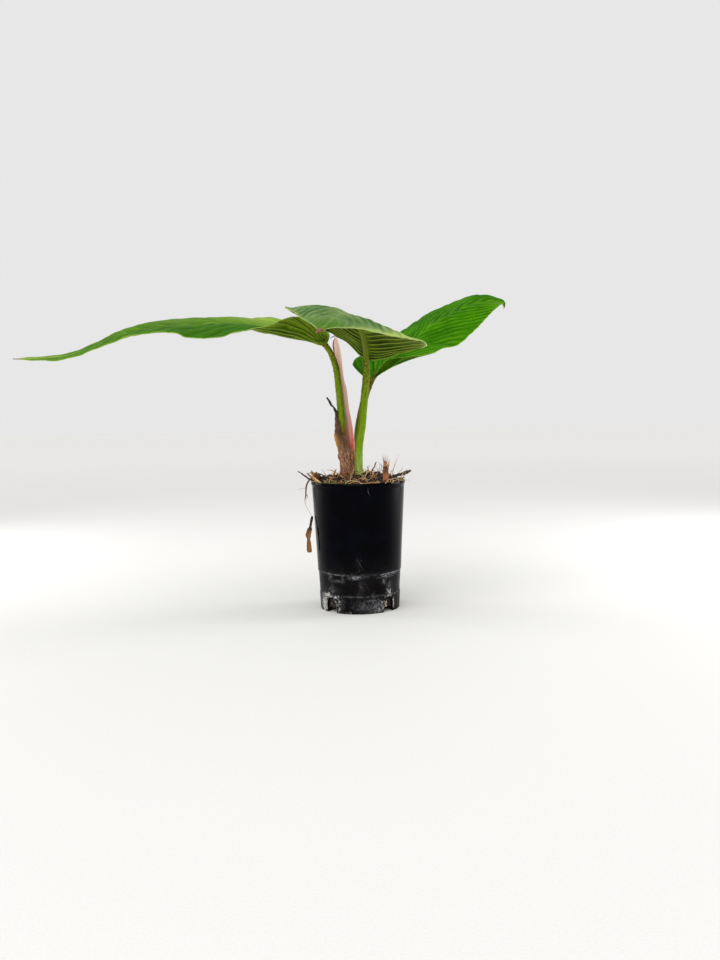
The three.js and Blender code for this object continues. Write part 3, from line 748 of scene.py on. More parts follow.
def make_floor():
    corners = [(x * FLOOR_REACH, y * FLOOR_REACH, 0) for x, y in ((-1, -1), (1, -1), (1, 1), (-1, 1))]
    mesh = new_mesh("floor", corners, [(0, 1, 2, 3)])
    mesh.materials.append(floor_finish())
    floor = new_object("floor", mesh)


def facing(way, axis):
    """The turn that points an axis that way."""
    return Vector(way).to_track_quat(axis, "Y").to_matrix().to_4x4()


def make_light(name, kind, watts, matrix, **settings):
    data = bpy.data.lights.new(name, kind)
    data.energy = watts
    for key, value in settings.items():
        setattr(data, key, value)
    new_object(name, data).matrix_world = matrix


def make_world():
    """Even pale light; the camera sees it as bright as the lit floor, so that no horizon shows."""
    world = bpy.data.worlds.new("world")
    bpy.context.scene.world = world
    world.use_nodes = True
    tree = world.node_tree
    path = tree.nodes.new("ShaderNodeLightPath")
    level = tree.nodes.new("ShaderNodeMapRange")
    tree.links.new(path.outputs["Is Camera Ray"], level.inputs[0])
    level.inputs["To Min"].default_value = WORLD_LIGHT
    level.inputs["To Max"].default_value = WORLD_SEEN
    background = tree.nodes["Background"].inputs
    tree.links.new(level.outputs[0], background["Strength"])
    background["Color"].default_value = (1, 1, 1, 1)


make_camera()
make_floor()
make_world()
make_light("sun", "SUN", SUN_STRENGTH, facing(SUN_TOWARDS, "Z"), angle=math.radians(SUN_WIDTH))
for name, place, aim, (width, height), watts in AREA_LIGHTS:
    matrix = Matrix.Translation(place) @ facing(Vector(aim) - Vector(place), "-Z")
    make_light(name, "AREA", watts, matrix, shape="RECTANGLE", size=width, size_y=height)
bpy.context.scene.view_settings.view_transform = "Standard"


# Leaves
VEIN_PHASES = np.array([0, 0.03, 0.07, 0.13, 0.22, 0.35, 0.5, 0.65, 0.78, 0.87, 0.93, 0.97])
LEAF_MARKS = ("dry", "blush", "pale", "fresh", "shade")
OFF_BLADE = dict(phase=0.5, deep=0.5, from_midrib=50.0)    # for beads and rods, which have no veins


class Blade:
    """One leaf blade, from its midrib and its two edges."""

    def __init__(self, shape):
        self.shape = shape
        self.midrib = Curve(shape["midrib"])
        first, *_, last = shape["midrib"]
        self.edge = {side: Curve([first, *shape[side], last]) for side in (1, -1)}

    def surface(self, m, v, side):
        """Smooth points, way up and width, for share m of the edge and share v of the way out to it."""
        along = np.clip((m - LOBE_SHARE) / (1 - LOBE_SHARE), 0, 1)
        start = self.midrib.at(along)
        across = self.edge[side].at(np.clip(m, 0, 1)) - start
        up = unit(np.cross(self.midrib.ahead(along), across) * side)
        reach = np.linalg.norm(across, axis=-1, keepdims=True)
        bulges = self.shape.get("bulge", {})
        bulge = drawn(bulges[side], v) if side in bulges else 4 * v * (1 - v)
        bend = (bulge * keyed(self.shape["arch"][side], m))[..., None] * reach
        return start + v[..., None] * across + up * bend, up, reach[..., 0]

    def rows(self):
        """Start and end share, and vein phase, of each row from the stalk to the tip."""
        veins = self.shape["veins"]
        base = np.linspace(0, 1, 6)[:-1]
        q = np.append((np.arange(veins)[:, None] + VEIN_PHASES).ravel(), veins) / veins
        tip = np.linspace(0, 1, 10)[1:]
        last = LOBE_SHARE + (1 - LOBE_SHARE) * VEIN_REACH
        if "vein_ends" in self.shape:
            inner, outer = (drawn(keys, q) for keys in self.shape["vein_ends"])
        else:
            sweep_in, sweep_out = self.shape["sweep"]
            fan = lerp(FIRST_VEIN_END, LOBE_SHARE, np.clip(q / 0.15, 0, 1))
            inner = fan + (last - LOBE_SHARE) * q**sweep_in
            outer = lerp(FIRST_VEIN_END, LAST_VEIN_END, 1 - (1 - q) ** sweep_out)
        start = np.concatenate([FIRST_VEIN_END * base, inner, lerp(last, 1, tip)])
        end = np.concatenate([FIRST_VEIN_END * base, outer, lerp(LAST_VEIN_END, 1, tip)])
        phase = np.concatenate([(base - 1) * 0.6, q * veins, veins + 2 * tip])
        return start, end, phase


def make_leaf(side_name, material, extras=(), **rules):
    """One leaf; a rule gives a mark's strength for the shares m and v and the sign of the side."""
    shape = LEAVES[side_name]
    blade = Blade(shape)
    start, end, phase = blade.rows()
    v_half = np.linspace(0, 1, 41) ** 1.5
    halves = []
    for side in (1, -1):
        v = np.broadcast_to(v_half, (len(start), len(v_half)))
        m = lerp(start[:, None], end[:, None], v)
        halves.append((*blade.surface(m, v, side), v, m))
    points, up, reach, v, m = (np.concatenate([a[:, ::-1], b[:, 1:]], axis=1) for a, b in zip(*halves))
    sign = np.where(np.arange(points.shape[1]) < len(v_half), 1.0, -1.0)

    def by_side(pair):
        return np.where(sign > 0, pair[1], pair[-1])

    # The smooth blade's directions, and how far apart its veins are
    by_row = np.gradient(points, phase, axis=0)
    by_column = np.gradient(points, axis=1)
    normal = np.cross(by_row, by_column)
    normal *= np.sign(np.sum(normal * up, -1))[..., None]
    normal = unit(unit(normal) + 0.15 * up)
    vein_way = unit(by_column)
    from_midrib = v * reach
    spacing = np.linalg.norm(by_row - np.sum(by_row * vein_way, -1, keepdims=True) * vein_way, axis=-1)

    # Ribs: high between the veins, low at the midrib, at the rim and where the blade is calm
    calm_from, calm_to, calm_share = shape["calm"]
    calm = lerp(1, calm_share, smoothstep(calm_from, calm_to, m))
    fade = smoothstep(0, 8, from_midrib) * (1 - by_side(shape["rim"]) * v**4) * shape["relief"] * calm
    height = np.minimum(RIB_HEIGHT, RIB_TO_SPACING * spacing) * fade
    ridge = np.abs(np.sin(math.pi * phase))[:, None] ** 0.8
    depths = np.random.default_rng(shape["veins"]).uniform(0.25, 1.1, shape["veins"] + 4)
    deep = depths[np.round(phase).astype(int) + 1][:, None]
    rib_above = RIB_ABOVE * (height * (1 - 2 * (1 - ridge) * deep))
    rib_below = RIB_BELOW * (height * (2 * ridge - 1))

    # Veins, groove and keel
    thick = BLADE_HALF * (1 - 0.45 * smoothstep(0.94, 1, v))
    groove = GROOVE_DEPTH * bell(from_midrib, 0, 1.3) * smoothstep(0, 8, reach)
    off_vein = np.abs(((phase[:, None] + 0.5) % 1) - 0.5) * spacing
    vein = VEIN_HEIGHT * bell(off_vein, 0, np.minimum(0.42, 0.09 * spacing) + 1e-3) * (1 - 0.8 * v**2)
    vein = vein * smoothstep(0.5, 3, spacing) * smoothstep(0.5, 5, from_midrib)
    slender = np.clip((start - LOBE_SHARE) / (1 - LOBE_SHARE), 0, 1)[:, None]
    keel_depth, keel_width = (size * lerp(1, 0.25, slender) for size in shape["keel"])
    keel = keel_depth * np.sqrt(np.clip(1 - (from_midrib / keel_width) ** 2, 0, 1)) * smoothstep(0, 10, reach)
    wobble = WOBBLE * lumps(points, 16, 40)
    top = points + normal * (rib_above + wobble + thick - groove)[..., None]
    under = points + normal * (rib_below + wobble - thick - vein - keel)[..., None]

    body = Body("across", "phase", "under", "from_midrib", "deep", *LEAF_MARKS)
    values = dict(across=v, from_midrib=from_midrib, phase=np.broadcast_to(phase[:, None], v.shape))
    # deep sets how strong the painted shade in the valleys is
    values["deep"] = deep * by_side(shape["valleys"]) * calm
    for key in LEAF_MARKS:
        values[key] = rules[key](m, v, sign) if key in rules else np.zeros_like(v)
    doubled = {key: np.stack([value] * 2) for key, value in values.items()}
    body.add([top, under], slab_faces(*v.shape, ends=False), under=np.repeat([0.0, 1.0], v.size), **doubled)

    # A bead along each margin, thick where it is dry
    for column in (0, -1):
        edge = (top[:, column] + under[:, column]) / 2
        share = np.concatenate([[0], np.cumsum(np.linalg.norm(np.diff(edge, axis=0), axis=1))])
        share /= share[-1]
        swell = 1 + 1.3 * values["dry"][:, column]
        beads, faces, along, _ = tube(
            Curve(edge[::5]), (0.15, MARGIN_RADIUS, MARGIN_RADIUS, 0.15), 6, 260,
            swell=lambda t, a: np.interp(t, share, swell),
        )
        marks = {key: np.interp(along, share, values[key][:, column]) for key in ("dry", "blush")}
        body.add(beads, faces, across=1.0, **OFF_BLADE, **marks)
    for path, radii, marks in extras:
        rod, faces, _, _ = tube(path, radii, 12, 24)
        body.add(rod, faces, across=0.5, **OFF_BLADE, **marks)
    add_piece("blade_" + side_name, body, material, ["leaf_" + side_name], merge=MERGE_WITHIN)


def spot(centre_m, width_m, low_v, side, power=1.0):
    """A rule that marks the blade near one share of one edge."""
    return lambda m, v, sign: power * bell(m, centre_m, width_m) * smoothstep(low_v, 1, v) * (sign == side)


def both(*rules):
    return lambda m, v, sign: np.clip(sum(rule(m, v, sign) for rule in rules), 0, 1)


make_leaf(
    "left",
    leaf_finish(
        "leaf_left", (78, 128, 4), (56, 104, 2), (0.34, 0.5, 0.28, 1), (98, 142, 22), (48, 104, 0),
        (128, 156, 28), (50, 78, 0), (140, 160, 62), (112, 134, 14), (158, 182, 84), (0.6, 3.2, 0.35), 0.04,
    ),
    pale=both(
        spot(0.22, 0.16, -0.4, -1, 0.75), lambda m, v, sign: 0.25 * smoothstep(0.8, 0.95, m),
        spot(0.45, 0.2, -0.6, -1, 0.3),
    ),
    fresh=spot(0.4, 0.19, -0.4, 1),
    blush=lambda m, v, sign: 0.7 * smoothstep(0.972, 0.995, m),
)
make_leaf(
    "centre",
    leaf_finish(
        "leaf_centre", (106, 138, 74), (56, 98, 34), (0.26, 0.42, 0.36, 1), (142, 163, 118), (76, 124, 0),
        (104, 130, 12), (22, 40, 0), (128, 150, 48), (100, 112, 18), (172, 192, 98), (0.15, 1.3, 0.1), 0.06,
    ),
    extras=(
        (
            [(-23, -162, 209.2), (-21, -158, 210), (-18.6, -152, 211.8), (-16, -147, 213.2)],
            (0.2, 0.6, 0.7, 0.3), {"blush": 0.8, "shade": 0.9},
        ),
        ([(-22.3, -164.5, 210), (-23.4, -165.6, 209.2), (-24, -166, 208.4)], (0.6, 1.0, 0.4), {"blush": 1.0}),
        (
            [(41, -8, 205.6), (48, -18, 206.6), (52.4, -27, 206.8), (53.2, -35, 205.6), (51, -38, 204.6)],
            (0.3, 0.6, 0.9, 1.0, 0.4), {"dry": 0.9},
        ),
    ),
    dry=both(spot(0.3, 0.09, 0.94, 1, 0.8), spot(0.28, 0.05, 0.94, -1, 0.5)),
    blush=lambda m, v, sign: smoothstep(0.965, 0.985, m),
    pale=both(
        spot(0.36, 0.12, 0.35, 1, 0.8), spot(0.5, 0.15, 0.5, 1, 0.9), spot(0.72, 0.16, 0.8, 1, 0.85),
        # the last rule is a painted sheen on the top near the midrib
        spot(0.5, 0.3, 0.86, -1, 0.6), lambda m, v, sign: 0.35 * bell(m, 0.62, 0.1) * smoothstep(0.45, 0.1, v),
    ),
    fresh=lambda m, v, sign: 0.9 * smoothstep(0.76, 0.92, m) * smoothstep(1.0, 0.85, v),
    shade=lambda m, v, sign: (
        0.25 * smoothstep(0.68, 0.9, m) + 0.5 * bell(m, 0.755, 0.045) * bell(v, 0.5, 0.25) * (sign > 0)
    ),
)
make_leaf(
    "right",
    leaf_finish(
        "leaf_right", (64, 128, 0), (46, 104, 0), (0.2, 0.42, 0.3, 1), (86, 144, 20), (64, 128, 0),
        (66, 106, 10), (36, 74, 2), (102, 134, 30), (86, 116, 16), (140, 176, 60), (0.15, 1.3, 0.35), 0.02,
    ),
    extras=(
        (
            [(129.6, 100.4, 250), (132, 101, 248.6), (132.4, 101, 246), (131.7, 101, 242.8)],
            (0.5, 0.9, 0.7, 0.15), {"under": 1.0},
        ),
    ),
    pale=both(spot(0.95, 0.06, -0.5, -1, 0.3)),
    shade=lambda m, v, sign: 0.75 * smoothstep(0.28, 0.06, m),
)


# Stalks
def streak_vector(along, around, length, radius=1.0):
    """Coordinates that stretch noise along a stalk, without a seam."""
    return polar(radius, around, along * length * 0.08)


def make_stalk(side_name, material):
    stalk = STALKS[side_name]
    midrib = Curve(LEAVES[side_name]["midrib"])
    line = Curve(stalk["path"] + [tuple(midrib.at(t)) for t in stalk["along_midrib"]])
    points, faces, along, around = tube(line, (1,), 40, 240, swell=lambda t, a: keyed(stalk["radii"], t))
    out = unit(points - line.at(along))
    rough = 0.35 + 0.65 * smoothstep(0.3, 0.9, along)
    flute = 0.05 * np.sin(7 * around + 2 * np.sin(9 * along))
    bumps = 0.14 * rough * lumps(points * [1, 1, 0.6], 2.2, 5) + 0.15 * rough * lumps(points, 0.9, 8)
    points = points + out * (flute + bumps)[:, None]
    rightward = out[:, 0]
    if side_name == "left":
        shade = 0.85 * smoothstep(0.1, 0.6, rightward) * smoothstep(0.2, 0.45, along)
        brown = 0.8 * smoothstep(-0.86, -0.96, rightward) * smoothstep(0.3, 0.5, along)
        brown = brown + 0.9 * smoothstep(-0.2, 0.2, rightward) * smoothstep(0.42, 0.34, along)
    elif side_name == "centre":
        shade = 0.5 * smoothstep(-0.3, -0.8, rightward) + 0.5 * smoothstep(0.55, 0.95, along)
        brown = 0.35 * smoothstep(0.6, 1.0, along) * smoothstep(0.2, 0.8, np.abs(rightward))
    else:
        shade = 0.9 * smoothstep(0.2, 0.5, along)
        brown = 0.6 * smoothstep(0.45, 0.62, along) * smoothstep(0.92, 0.8, along)
    body = Body("along", "shade", "brown", "streak")
    streak = streak_vector(along, around, line.length)
    body.add(points, faces, along=along, shade=shade, brown=brown, streak=streak)
    add_piece("stalk_" + side_name, body, material, ["petiole_" + side_name])


STALK = stalk_finish()
for side_name in STALKS:
    make_stalk(side_name, STALK)


# Sheaths
NEW_SHEATH = [
    (-3.2, 6, 99), (-4.8, 6, 121.6), (-6.2, 6, 136.9), (-7.4, 6, 146.5), (-9.5, 6, 160.1), (-10.6, 6, 172.5),
    (-12.4, 6, 181), (-13.5, 6, 189.5), (-14.1, 6, 197.5), (-14.8, 6, 203.8), (-15.6, 5, 209.2),
    (-15.6, 5, 212.3), (-15.3, 5, 215.6),
]
NEW_SHEATH_RADII = [
    (0, 3.1), (0.15, 3.3), (0.3, 3.4), (0.38, 3.35), (0.5, 3.2), (0.61, 3.2), (0.69, 2.95), (0.77, 2.85),
    (0.9, 2.7), (0.945, 2.5), (0.975, 1.8), (1, 0.3),
]


def make_new_sheath():
    line = Curve(NEW_SHEATH)

    def swell(t, a):
        return keyed(NEW_SHEATH_RADII, t) * (1 + 0.05 * np.cos(2 * a) + 0.03 * np.cos(a * 6 + 5 * t))

    points, faces, along, around = tube(line, (1,), 48, 200, swell)
    out = unit(points - line.at(along))
    fold = 0.5 * np.exp(-(((around - 4.3 + 0.5 * along) / 0.16) ** 2)) * smoothstep(0.02, 0.2, along)
    points = points - out * fold[:, None] + out * (0.05 * lumps(points * [1, 1, 0.12], 1.6, 4))[:, None]
    right = smoothstep(0.1, 0.75, out[:, 0])
    blush = 0.65 * right * smoothstep(0.62, 0.25, along) + 0.6 * smoothstep(0.36, 0.2, along)
    left = smoothstep(-0.55, -0.8, out[:, 0])
    shade = 0.95 * left * smoothstep(0.86, 0.93, along) * smoothstep(1.0, 0.985, along)
    body = Body("along", "blush", "shade", "streak")
    streak = streak_vector(along, around, line.length, 1.4)
    body.add(points, faces, along=along, blush=np.clip(blush, 0, 0.9), shade=shade, streak=streak)
    thread, faces, _, _ = tube([(-19.8, 0, 214), (-18, 1, 215.6), (-16.2, 3, 215.4)], (0.12, 0.35, 0.3), 6, 20)
    body.add(thread, faces, along=1.0, shade=1.0)
    add_piece("sheath_new", body, new_sheath_finish(), ["cataphyll_new"])


DRY_AXIS = [
    (-7.4, 0.5, 101), (-7.9, 0.5, 114), (-9.1, 0.3, 124), (-11.1, 0, 137), (-12.3, -0.5, 147), (-13.6, -1, 154),
    (-16.2, -1.6, 159), (-18.8, -2.3, 162), (-22.6, -4, 168),
]
DRY_RADIUS = [
    (0, 5.8), (0.15, 5.9), (0.3, 5.9), (0.49, 5.3), (0.62, 4.9), (0.7, 4.2), (0.78, 2.7), (0.86, 1.6),
    (0.94, 1.4), (1, 0.9),
]
DRY_FROM = [(0, 95), (0.4, 100), (0.65, 120), (0.8, 130), (1, 120)]
DRY_TO = [(0, 345), (0.28, 340), (0.4, 318), (0.49, 292), (0.57, 268), (0.76, 250), (1, 280)]


def make_dry_sheath():
    """Share t runs up the sheath and s round it."""
    axis = Curve(DRY_AXIS)

    def place(t, s):
        fray = 12 * lumps(xyz(t * 40), 3.5, 31)
        turn = np.radians(lerp(keyed(DRY_FROM, t) + fray * (s < 0.5), keyed(DRY_TO, t) + fray * (s >= 0.5), s))
        reach = keyed(DRY_RADIUS, t) * (1 + 0.05 * np.sin(9 * turn + 14 * t) + 0.03 * np.sin(23 * turn + 8 * t))
        reach = reach + 0.3 * lumps(xyz(turn * 5, t * 30), 2.0, 3)
        reach = reach + 0.2 * np.sin(5.2 * (s * 13 + t * 9) + 1.5 * lumps(xyz(s * 4, t * 20), 3.0, 6))
        reach = reach + 2.2 * np.exp(-(((t - 0.5) / 0.07) ** 2) - ((turn - 3.3) / 0.35) ** 2)
        points = axis.at(t) + polar(reach, turn)
        points[..., 2] += 0.6 * lumps(xyz(turn * 6, t * 3), 2.0, 9) * smoothstep(0.2, 0.0, t)
        return points

    body = Body("blush", "shade", "dark", "streak")
    make_sheet(
        body, place, 150, 76, 0.35,
        streak=lambda t, s: xyz(s * 13 + t * 9, 0, t * 2.4),
        blush=lambda t, s: np.clip(1.5 * bell(t, 0.48, 0.08) * bell(s, 0.4, 0.15), 0, 1),
        shade=lambda t, s: smoothstep(0.7, 0.8, t) * 0.8,
        dark=lambda t, s: 0.75 * smoothstep(0.3, 0.5, t) * smoothstep(0.42, 0.6, s),
    )
    add_piece("sheath_dry", body, dry_finish(), ["cataphyll_dry"])


make_new_sheath()
make_dry_sheath()


# Pot
def wall_radius(z):
    taper = lerp(POT_FOOT_RADIUS, POT_TOP_RADIUS - POT_LIP, np.divide(z, POT_HEIGHT))
    plinth = taper + WALL_OVER_TAPER
    above = np.where(np.less(z, STEP_HEIGHT), plinth - PLINTH_DEPTH, taper + STEP_DEPTH - PLINTH_DEPTH)
    return np.where(np.less(z, PLINTH_HEIGHT), plinth, above)


def pot_profile():
    """Radius and height round the pot's section, from the middle of the foot outwards and back inside."""
    def wall(*heights, inwards=0.0):
        return [(wall_radius(z) - inwards, z) for z in heights]

    step = wall_radius(STEP_HEIGHT)
    lip_foot = POT_HEIGHT - POT_LIP_HEIGHT
    return [
        (0, 0), (12, 0), (12.6, 0.3), (13.5, FLOOR_LIFT), (27.3, FLOOR_LIFT), (28.1, 0.3), (28.5, 0),
        (POT_FOOT_RADIUS - 0.2, 0), (POT_FOOT_RADIUS + 0.05, 0.08),
        *wall(0.4, *np.linspace(1.2, PLINTH_HEIGHT - 0.6, 22)),
        (wall_radius(PLINTH_HEIGHT - 0.01), PLINTH_HEIGHT - 0.25),
        *wall(PLINTH_HEIGHT, *np.linspace(PLINTH_HEIGHT + 0.6, STEP_HEIGHT - 1, 18)),
        (wall_radius(STEP_HEIGHT - 0.01), STEP_HEIGHT - 0.5),
        (step - 0.08, STEP_HEIGHT + 0.05), (step + 0.02, STEP_HEIGHT + 0.3),
        *wall(*np.linspace(STEP_HEIGHT + 1, lip_foot - 0.2, 34)),
        (POT_TOP_RADIUS - 0.25, lip_foot + 0.25), (POT_TOP_RADIUS - 0.05, lip_foot + 0.6),
        (POT_TOP_RADIUS, POT_HEIGHT - 0.6), (POT_TOP_RADIUS - 0.15, POT_HEIGHT - 0.2),
        (POT_TOP_RADIUS - 0.5, POT_HEIGHT), (RIM_INSIDE + 0.3, POT_HEIGHT), (RIM_INSIDE, POT_HEIGHT - 0.3),
        *wall(lip_foot, 60, STEP_HEIGHT + 0.8, STEP_HEIGHT - 1, 20, 12, 8, 3.6, inwards=POT_WALL),
        (0, FLOOR_LIFT + FLOOR_THICKNESS),
    ]


def notch_distance(x, y, z):
    """Millimetres from the outline of the nearest notch, on the wall's surface; negative inside it."""
    best = np.full(len(x), 99.0)
    half = np.interp(z, [0, NOTCH_HEIGHT - 2.5, NOTCH_HEIGHT], [5.5, 4.0, 1.6])
    for degrees in NOTCH_TURNS:
        off = (np.arctan2(y, x) - math.radians(degrees) + math.pi) % TURN - math.pi
        side = np.abs(off * np.hypot(x, y))
        best = np.minimum(best, np.maximum(side - half, (z - NOTCH_HEIGHT) * 0.9))
    return best


def notch_cutter():
    """Four arched prisms that cut the drainage notches out of the pot's foot."""
    body = Body()
    half = NOTCH_WIDTH / 2
    shoulder = [(half * share, NOTCH_HEIGHT * rise) for share, rise in ((0.86, 0.5), (0.7, 0.8), (0.42, 0.96))]
    mirrored = [(-x, z) for x, z in shoulder[::-1]]
    x, z = np.array([(-half, -1), (half, -1), *shoulder, (0, NOTCH_HEIGHT), *mirrored]).T
    k = np.arange(len(x))
    n = (k + 1) % len(k)
    sides = np.stack([k, n, n + len(k), k + len(k)], -1)
    for degrees in NOTCH_TURNS:
        turn = math.radians(degrees)
        side = xyz(-math.sin(turn), math.cos(turn))
        rings = [polar(reach, turn) + x[:, None] * side + xyz(0, 0, z) for reach in NOTCH_FROM_TO]
        body.add(rings, [[k[::-1]], [k + len(k)], sides])
    return new_object("notch_cutter", new_mesh("notch_cutter", np.vstack(body.points), body.faces))


# Marks on the pot: angle in degrees, -90 at the front, height, half width and half height in mm, strength
POT_CRUST = (
    (-151, 6, 5.4, 7.8, 1.15), (-143, 13.2, 6.0, 2.2, 1.05), (-124, 12.6, 4.0, 1.4, 0.75),
    (-121, 6, 0.8, 8.0, 0.85), (-44, 15.5, 3.6, 3.6, 0.85), (-48, 12.8, 3.0, 1.6, 0.8),
    (-35.5, 6, 1.5, 6.0, 0.95), (-61, 2.5, 2.6, 2.6, 0.55), (-57, 8, 1.0, 4.0, 0.5), (-100, 1, 14, 0.7, 0.35),
    (-72, 1.2, 8, 0.8, 0.35), (34, 9, 3.0, 6.0, 0.8), (48, 14, 3.5, 2.6, 0.85), (128, 12, 3.5, 3.0, 0.85),
    (143, 6, 2.6, 5.0, 0.8), (88, 1, 12, 1.0, 0.5),
)
POT_DUST = (
    (-96, 29.2, 4.6, 1.5, 1.0), (-108, 30.2, 5, 0.6, 0.5), (-85, 29.6, 5, 0.6, 0.4), (-46, 30.4, 10, 0.7, 1.0),
    (-50, 28.4, 7, 0.5, 0.8), (-136, 31, 9, 0.5, 0.8), (-118, 30.8, 8, 0.4, 0.6), (-54, 25.2, 1.6, 2.2, 0.75),
    (-62, 4.5, 8, 4.5, 0.75), (-84, 6, 8, 4.0, 0.3), (-70, 10, 8, 1.2, 0.5), (-135, 29.0, 2.0, 3.0, 0.5),
    (-121, 25.6, 4.0, 0.8, 0.5), (-114, 26.5, 1.2, 2.0, 0.5), (-92, 39, 1.5, 6.0, 0.08),
    (-44, 19, 3, 5.0, 0.35), (-118, 8, 3, 4.0, 0.3), (-134, 18, 6, 2.4, 0.3), (-88, 22, 2.0, 6.0, 0.14),
    (60, 29.5, 7, 1.4, 0.8), (120, 30, 9, 1.0, 0.7), (170, 29.6, 6, 1.6, 0.8), (90, 8, 12, 4.0, 0.4),
    (10, 20, 6, 5, 0.4),
)
# Scratches: each a line of angles and heights
POT_SCRATCHES = (
    ((-78.5, 99), (-77.5, 95), (-75.5, 92)), ((-79, 97), (-77, 94)),
    ((-62, 30.0), (-50, 30.6), (-38, 30.9), (-27, 31)), ((-60, 30.4), (-48, 31.0), (-36, 31.3), (-26, 31.4)),
    ((-61, 28.4), (-50, 29.4), (-38, 29.9), (-27, 30)), ((-143, 30.6), (-130, 30.8), (-118, 30.4)),
    ((-92, 43), (-88, 38), (-84, 34.6)), ((-98, 30), (-93, 33), (-86, 36)),
    ((-104, 29.4), (-97, 28.6), (-90, 29.2)), ((-121, 13.8), (-105, 13.9), (-88, 13.8), (-74, 13.9)),
    ((-84, 25), (-80, 22), (-77, 17)), ((-140, 27), (-132, 25), (-124, 24.6)), ((70, 88), (74, 80)),
    ((110, 30.4), (130, 30.9), (150, 30.5)),
)
BOLD_FROM_TO = (28, 32)       # heights between which a scratch is a bold one, along the step
SCRATCH_RADII = np.array([0.03, 0.13, 0.1, 0.13, 0.03])    # of a thin one, along it
# Bold lines along the step are pale dust with a painted highlight of the step's edge; thin ones are dust
BOLD_SCALE, BOLD_DUST_AND_HIGHLIGHT, THIN_DUST = 2.0, 4.5, 0.5


def patches(angle, z, marks):
    """The strongest of the marks at each point of the pot."""
    total = np.zeros(len(z))
    for centre, height, half_width, half_height, strength in marks:
        off = np.abs((angle - centre + 180) % 360 - 180) * math.radians(1) * MARK_RADIUS
        total = np.maximum(total, strength * bell(off, 0, half_width) * bell(z, height, half_height))
    return total


def make_scratches():
    body = Body("crust", "dust")
    for line in POT_SCRATCHES:
        spans = len(line) - 1
        steps = np.linspace(0, spans, 4 * spans + 1)
        degrees, heights = (np.interp(steps, range(spans + 1), values) for values in zip(*line))
        bold = min(heights) > BOLD_FROM_TO[0] and max(heights) < BOLD_FROM_TO[1]
        path = polar(wall_radius(heights), np.radians(degrees), heights)
        points, faces, _, _ = tube(path, (BOLD_SCALE if bold else 1.0) * SCRATCH_RADII, 5, 60)
        body.add(points, faces, dust=BOLD_DUST_AND_HIGHLIGHT if bold else THIN_DUST)
    add_piece("pot_scratches", body, pot_finish())


def make_pot():
    profile = np.array(pot_profile())
    rings = polar(profile[1:-1, :1], full_turn(192), profile[1:-1, 1:])
    points, faces = closed_rings(rings, (0, 0, 0), (0, 0, profile[-1, 1]))
    x, y, z = points.T
    angle = np.degrees(np.arctan2(y, x))
    outside = np.arange(len(points)) < OUTER_SHARE * (len(points) - 2)
    crust = 0.48 * bell(np.maximum(notch_distance(x, y, z), 0), 0, 1.7)
    crust = np.maximum(np.maximum(crust, 0.2 * smoothstep(1.5, 0, z)), patches(angle, z, POT_CRUST))
    lines = np.maximum(0.2 * bell(z, STEP_HEIGHT, 0.7), 0.3 * bell(z, PLINTH_HEIGHT, 0.6))
    dust = np.maximum(lines, patches(angle, z, POT_DUST))
    body = Body("crust", "dust")
    body.add(points, faces, crust=crust * outside, dust=dust * outside)
    pot = add_piece("pot_shell", body, pot_finish(), ["pot"])
    cutter = notch_cutter()
    cut = pot.modifiers.new("notches", "BOOLEAN")
    cut.operation = "DIFFERENCE"
    cut.object = cutter
    cut.solver = "EXACT"
    bpy.context.view_layer.objects.active = pot
    bpy.ops.object.modifier_apply(modifier="notches")
    bpy.data.objects.remove(cutter)


make_pot()
make_scratches()


# Potting mix
def mix_height(x, y):
    share = np.clip(np.hypot(x, y) / RIM_INSIDE, 0, 1)
    heap = lerp(MIX_CROWN, MIX_EDGE, share**4)
    waves = np.sin(x * 0.43 + 1) * np.cos(y * 0.37) + 0.7 * np.sin(x * 0.21 - y * 0.52 + 2)
    rise = 1.6 * np.exp(-((x - 9) ** 2 + (y + 4) ** 2) / 90)
    return heap + rise + 0.7 * waves * (1 - share**6)


def on_heap(x, y, lift=0.0):
    return np.array([x, y, mix_height(x, y) + lift])


def make_ground():
    """The heap between the chips and the plug's side, which is darkened low down with painted shade, behind the
    notches.
    """
    turn = full_turn(180)
    radii = np.linspace(0.4, RIM_INSIDE - 0.45, 70)[::-1, None]
    x, y = radii * np.cos(turn), radii * np.sin(turn)
    top = xyz(x, y, mix_height(x, y))
    top[..., 2] += 0.9 * lumps(top, 5, 12) + 0.5 * lumps(top, 2.2, 13) + 0.3 * lumps(top, 1.1, 14)
    top[0, :, 2] = MIX_EDGE - 1.0
    levels = [3.9, 6, 8, 10, 12, 14, 18, STEP_HEIGHT - 1.2, STEP_HEIGHT + 0.8, 60, 90, MIX_EDGE - 2]
    levels = np.array(levels)[:, None]
    inner = wall_radius(levels) - POT_WALL - 0.4
    side = polar(inner, turn, levels)
    depth = (0.6 + 0.6 * lumps(side, 3, 15)) * (levels < 20)
    side[..., :2] *= (1 - depth / inner)[..., None]
    points, faces = closed_rings(np.concatenate([side, top]), (0, 0, levels[0, 0]), (0, 0, mix_height(0, 0)))
    x, y, z = points.T
    edge = smoothstep(22, 33, np.hypot(x, y)) * (z > 90)
    moss = bell(np.degrees(np.arctan2(y, x)), -115, 22) * edge * smoothstep(-0.2, 0.8, lumps(points, 4, 16))
    body = Body("moss", "dark")
    # dark is painted shade, stronger lower down the plug's side
    body.add(points, faces, moss=np.clip(moss, 0, 0.85), dark=0.85 * smoothstep(60, 20, z))
    add_piece("mix_ground", body, soil_finish(), ["potting_mix"])


CHIP_CORNERS = np.array([
    (-0.5, 0.15), (-0.34, 0.46), (0.05, 0.5), (0.4, 0.34), (0.5, -0.08), (0.3, -0.42), (-0.2, -0.5),
])


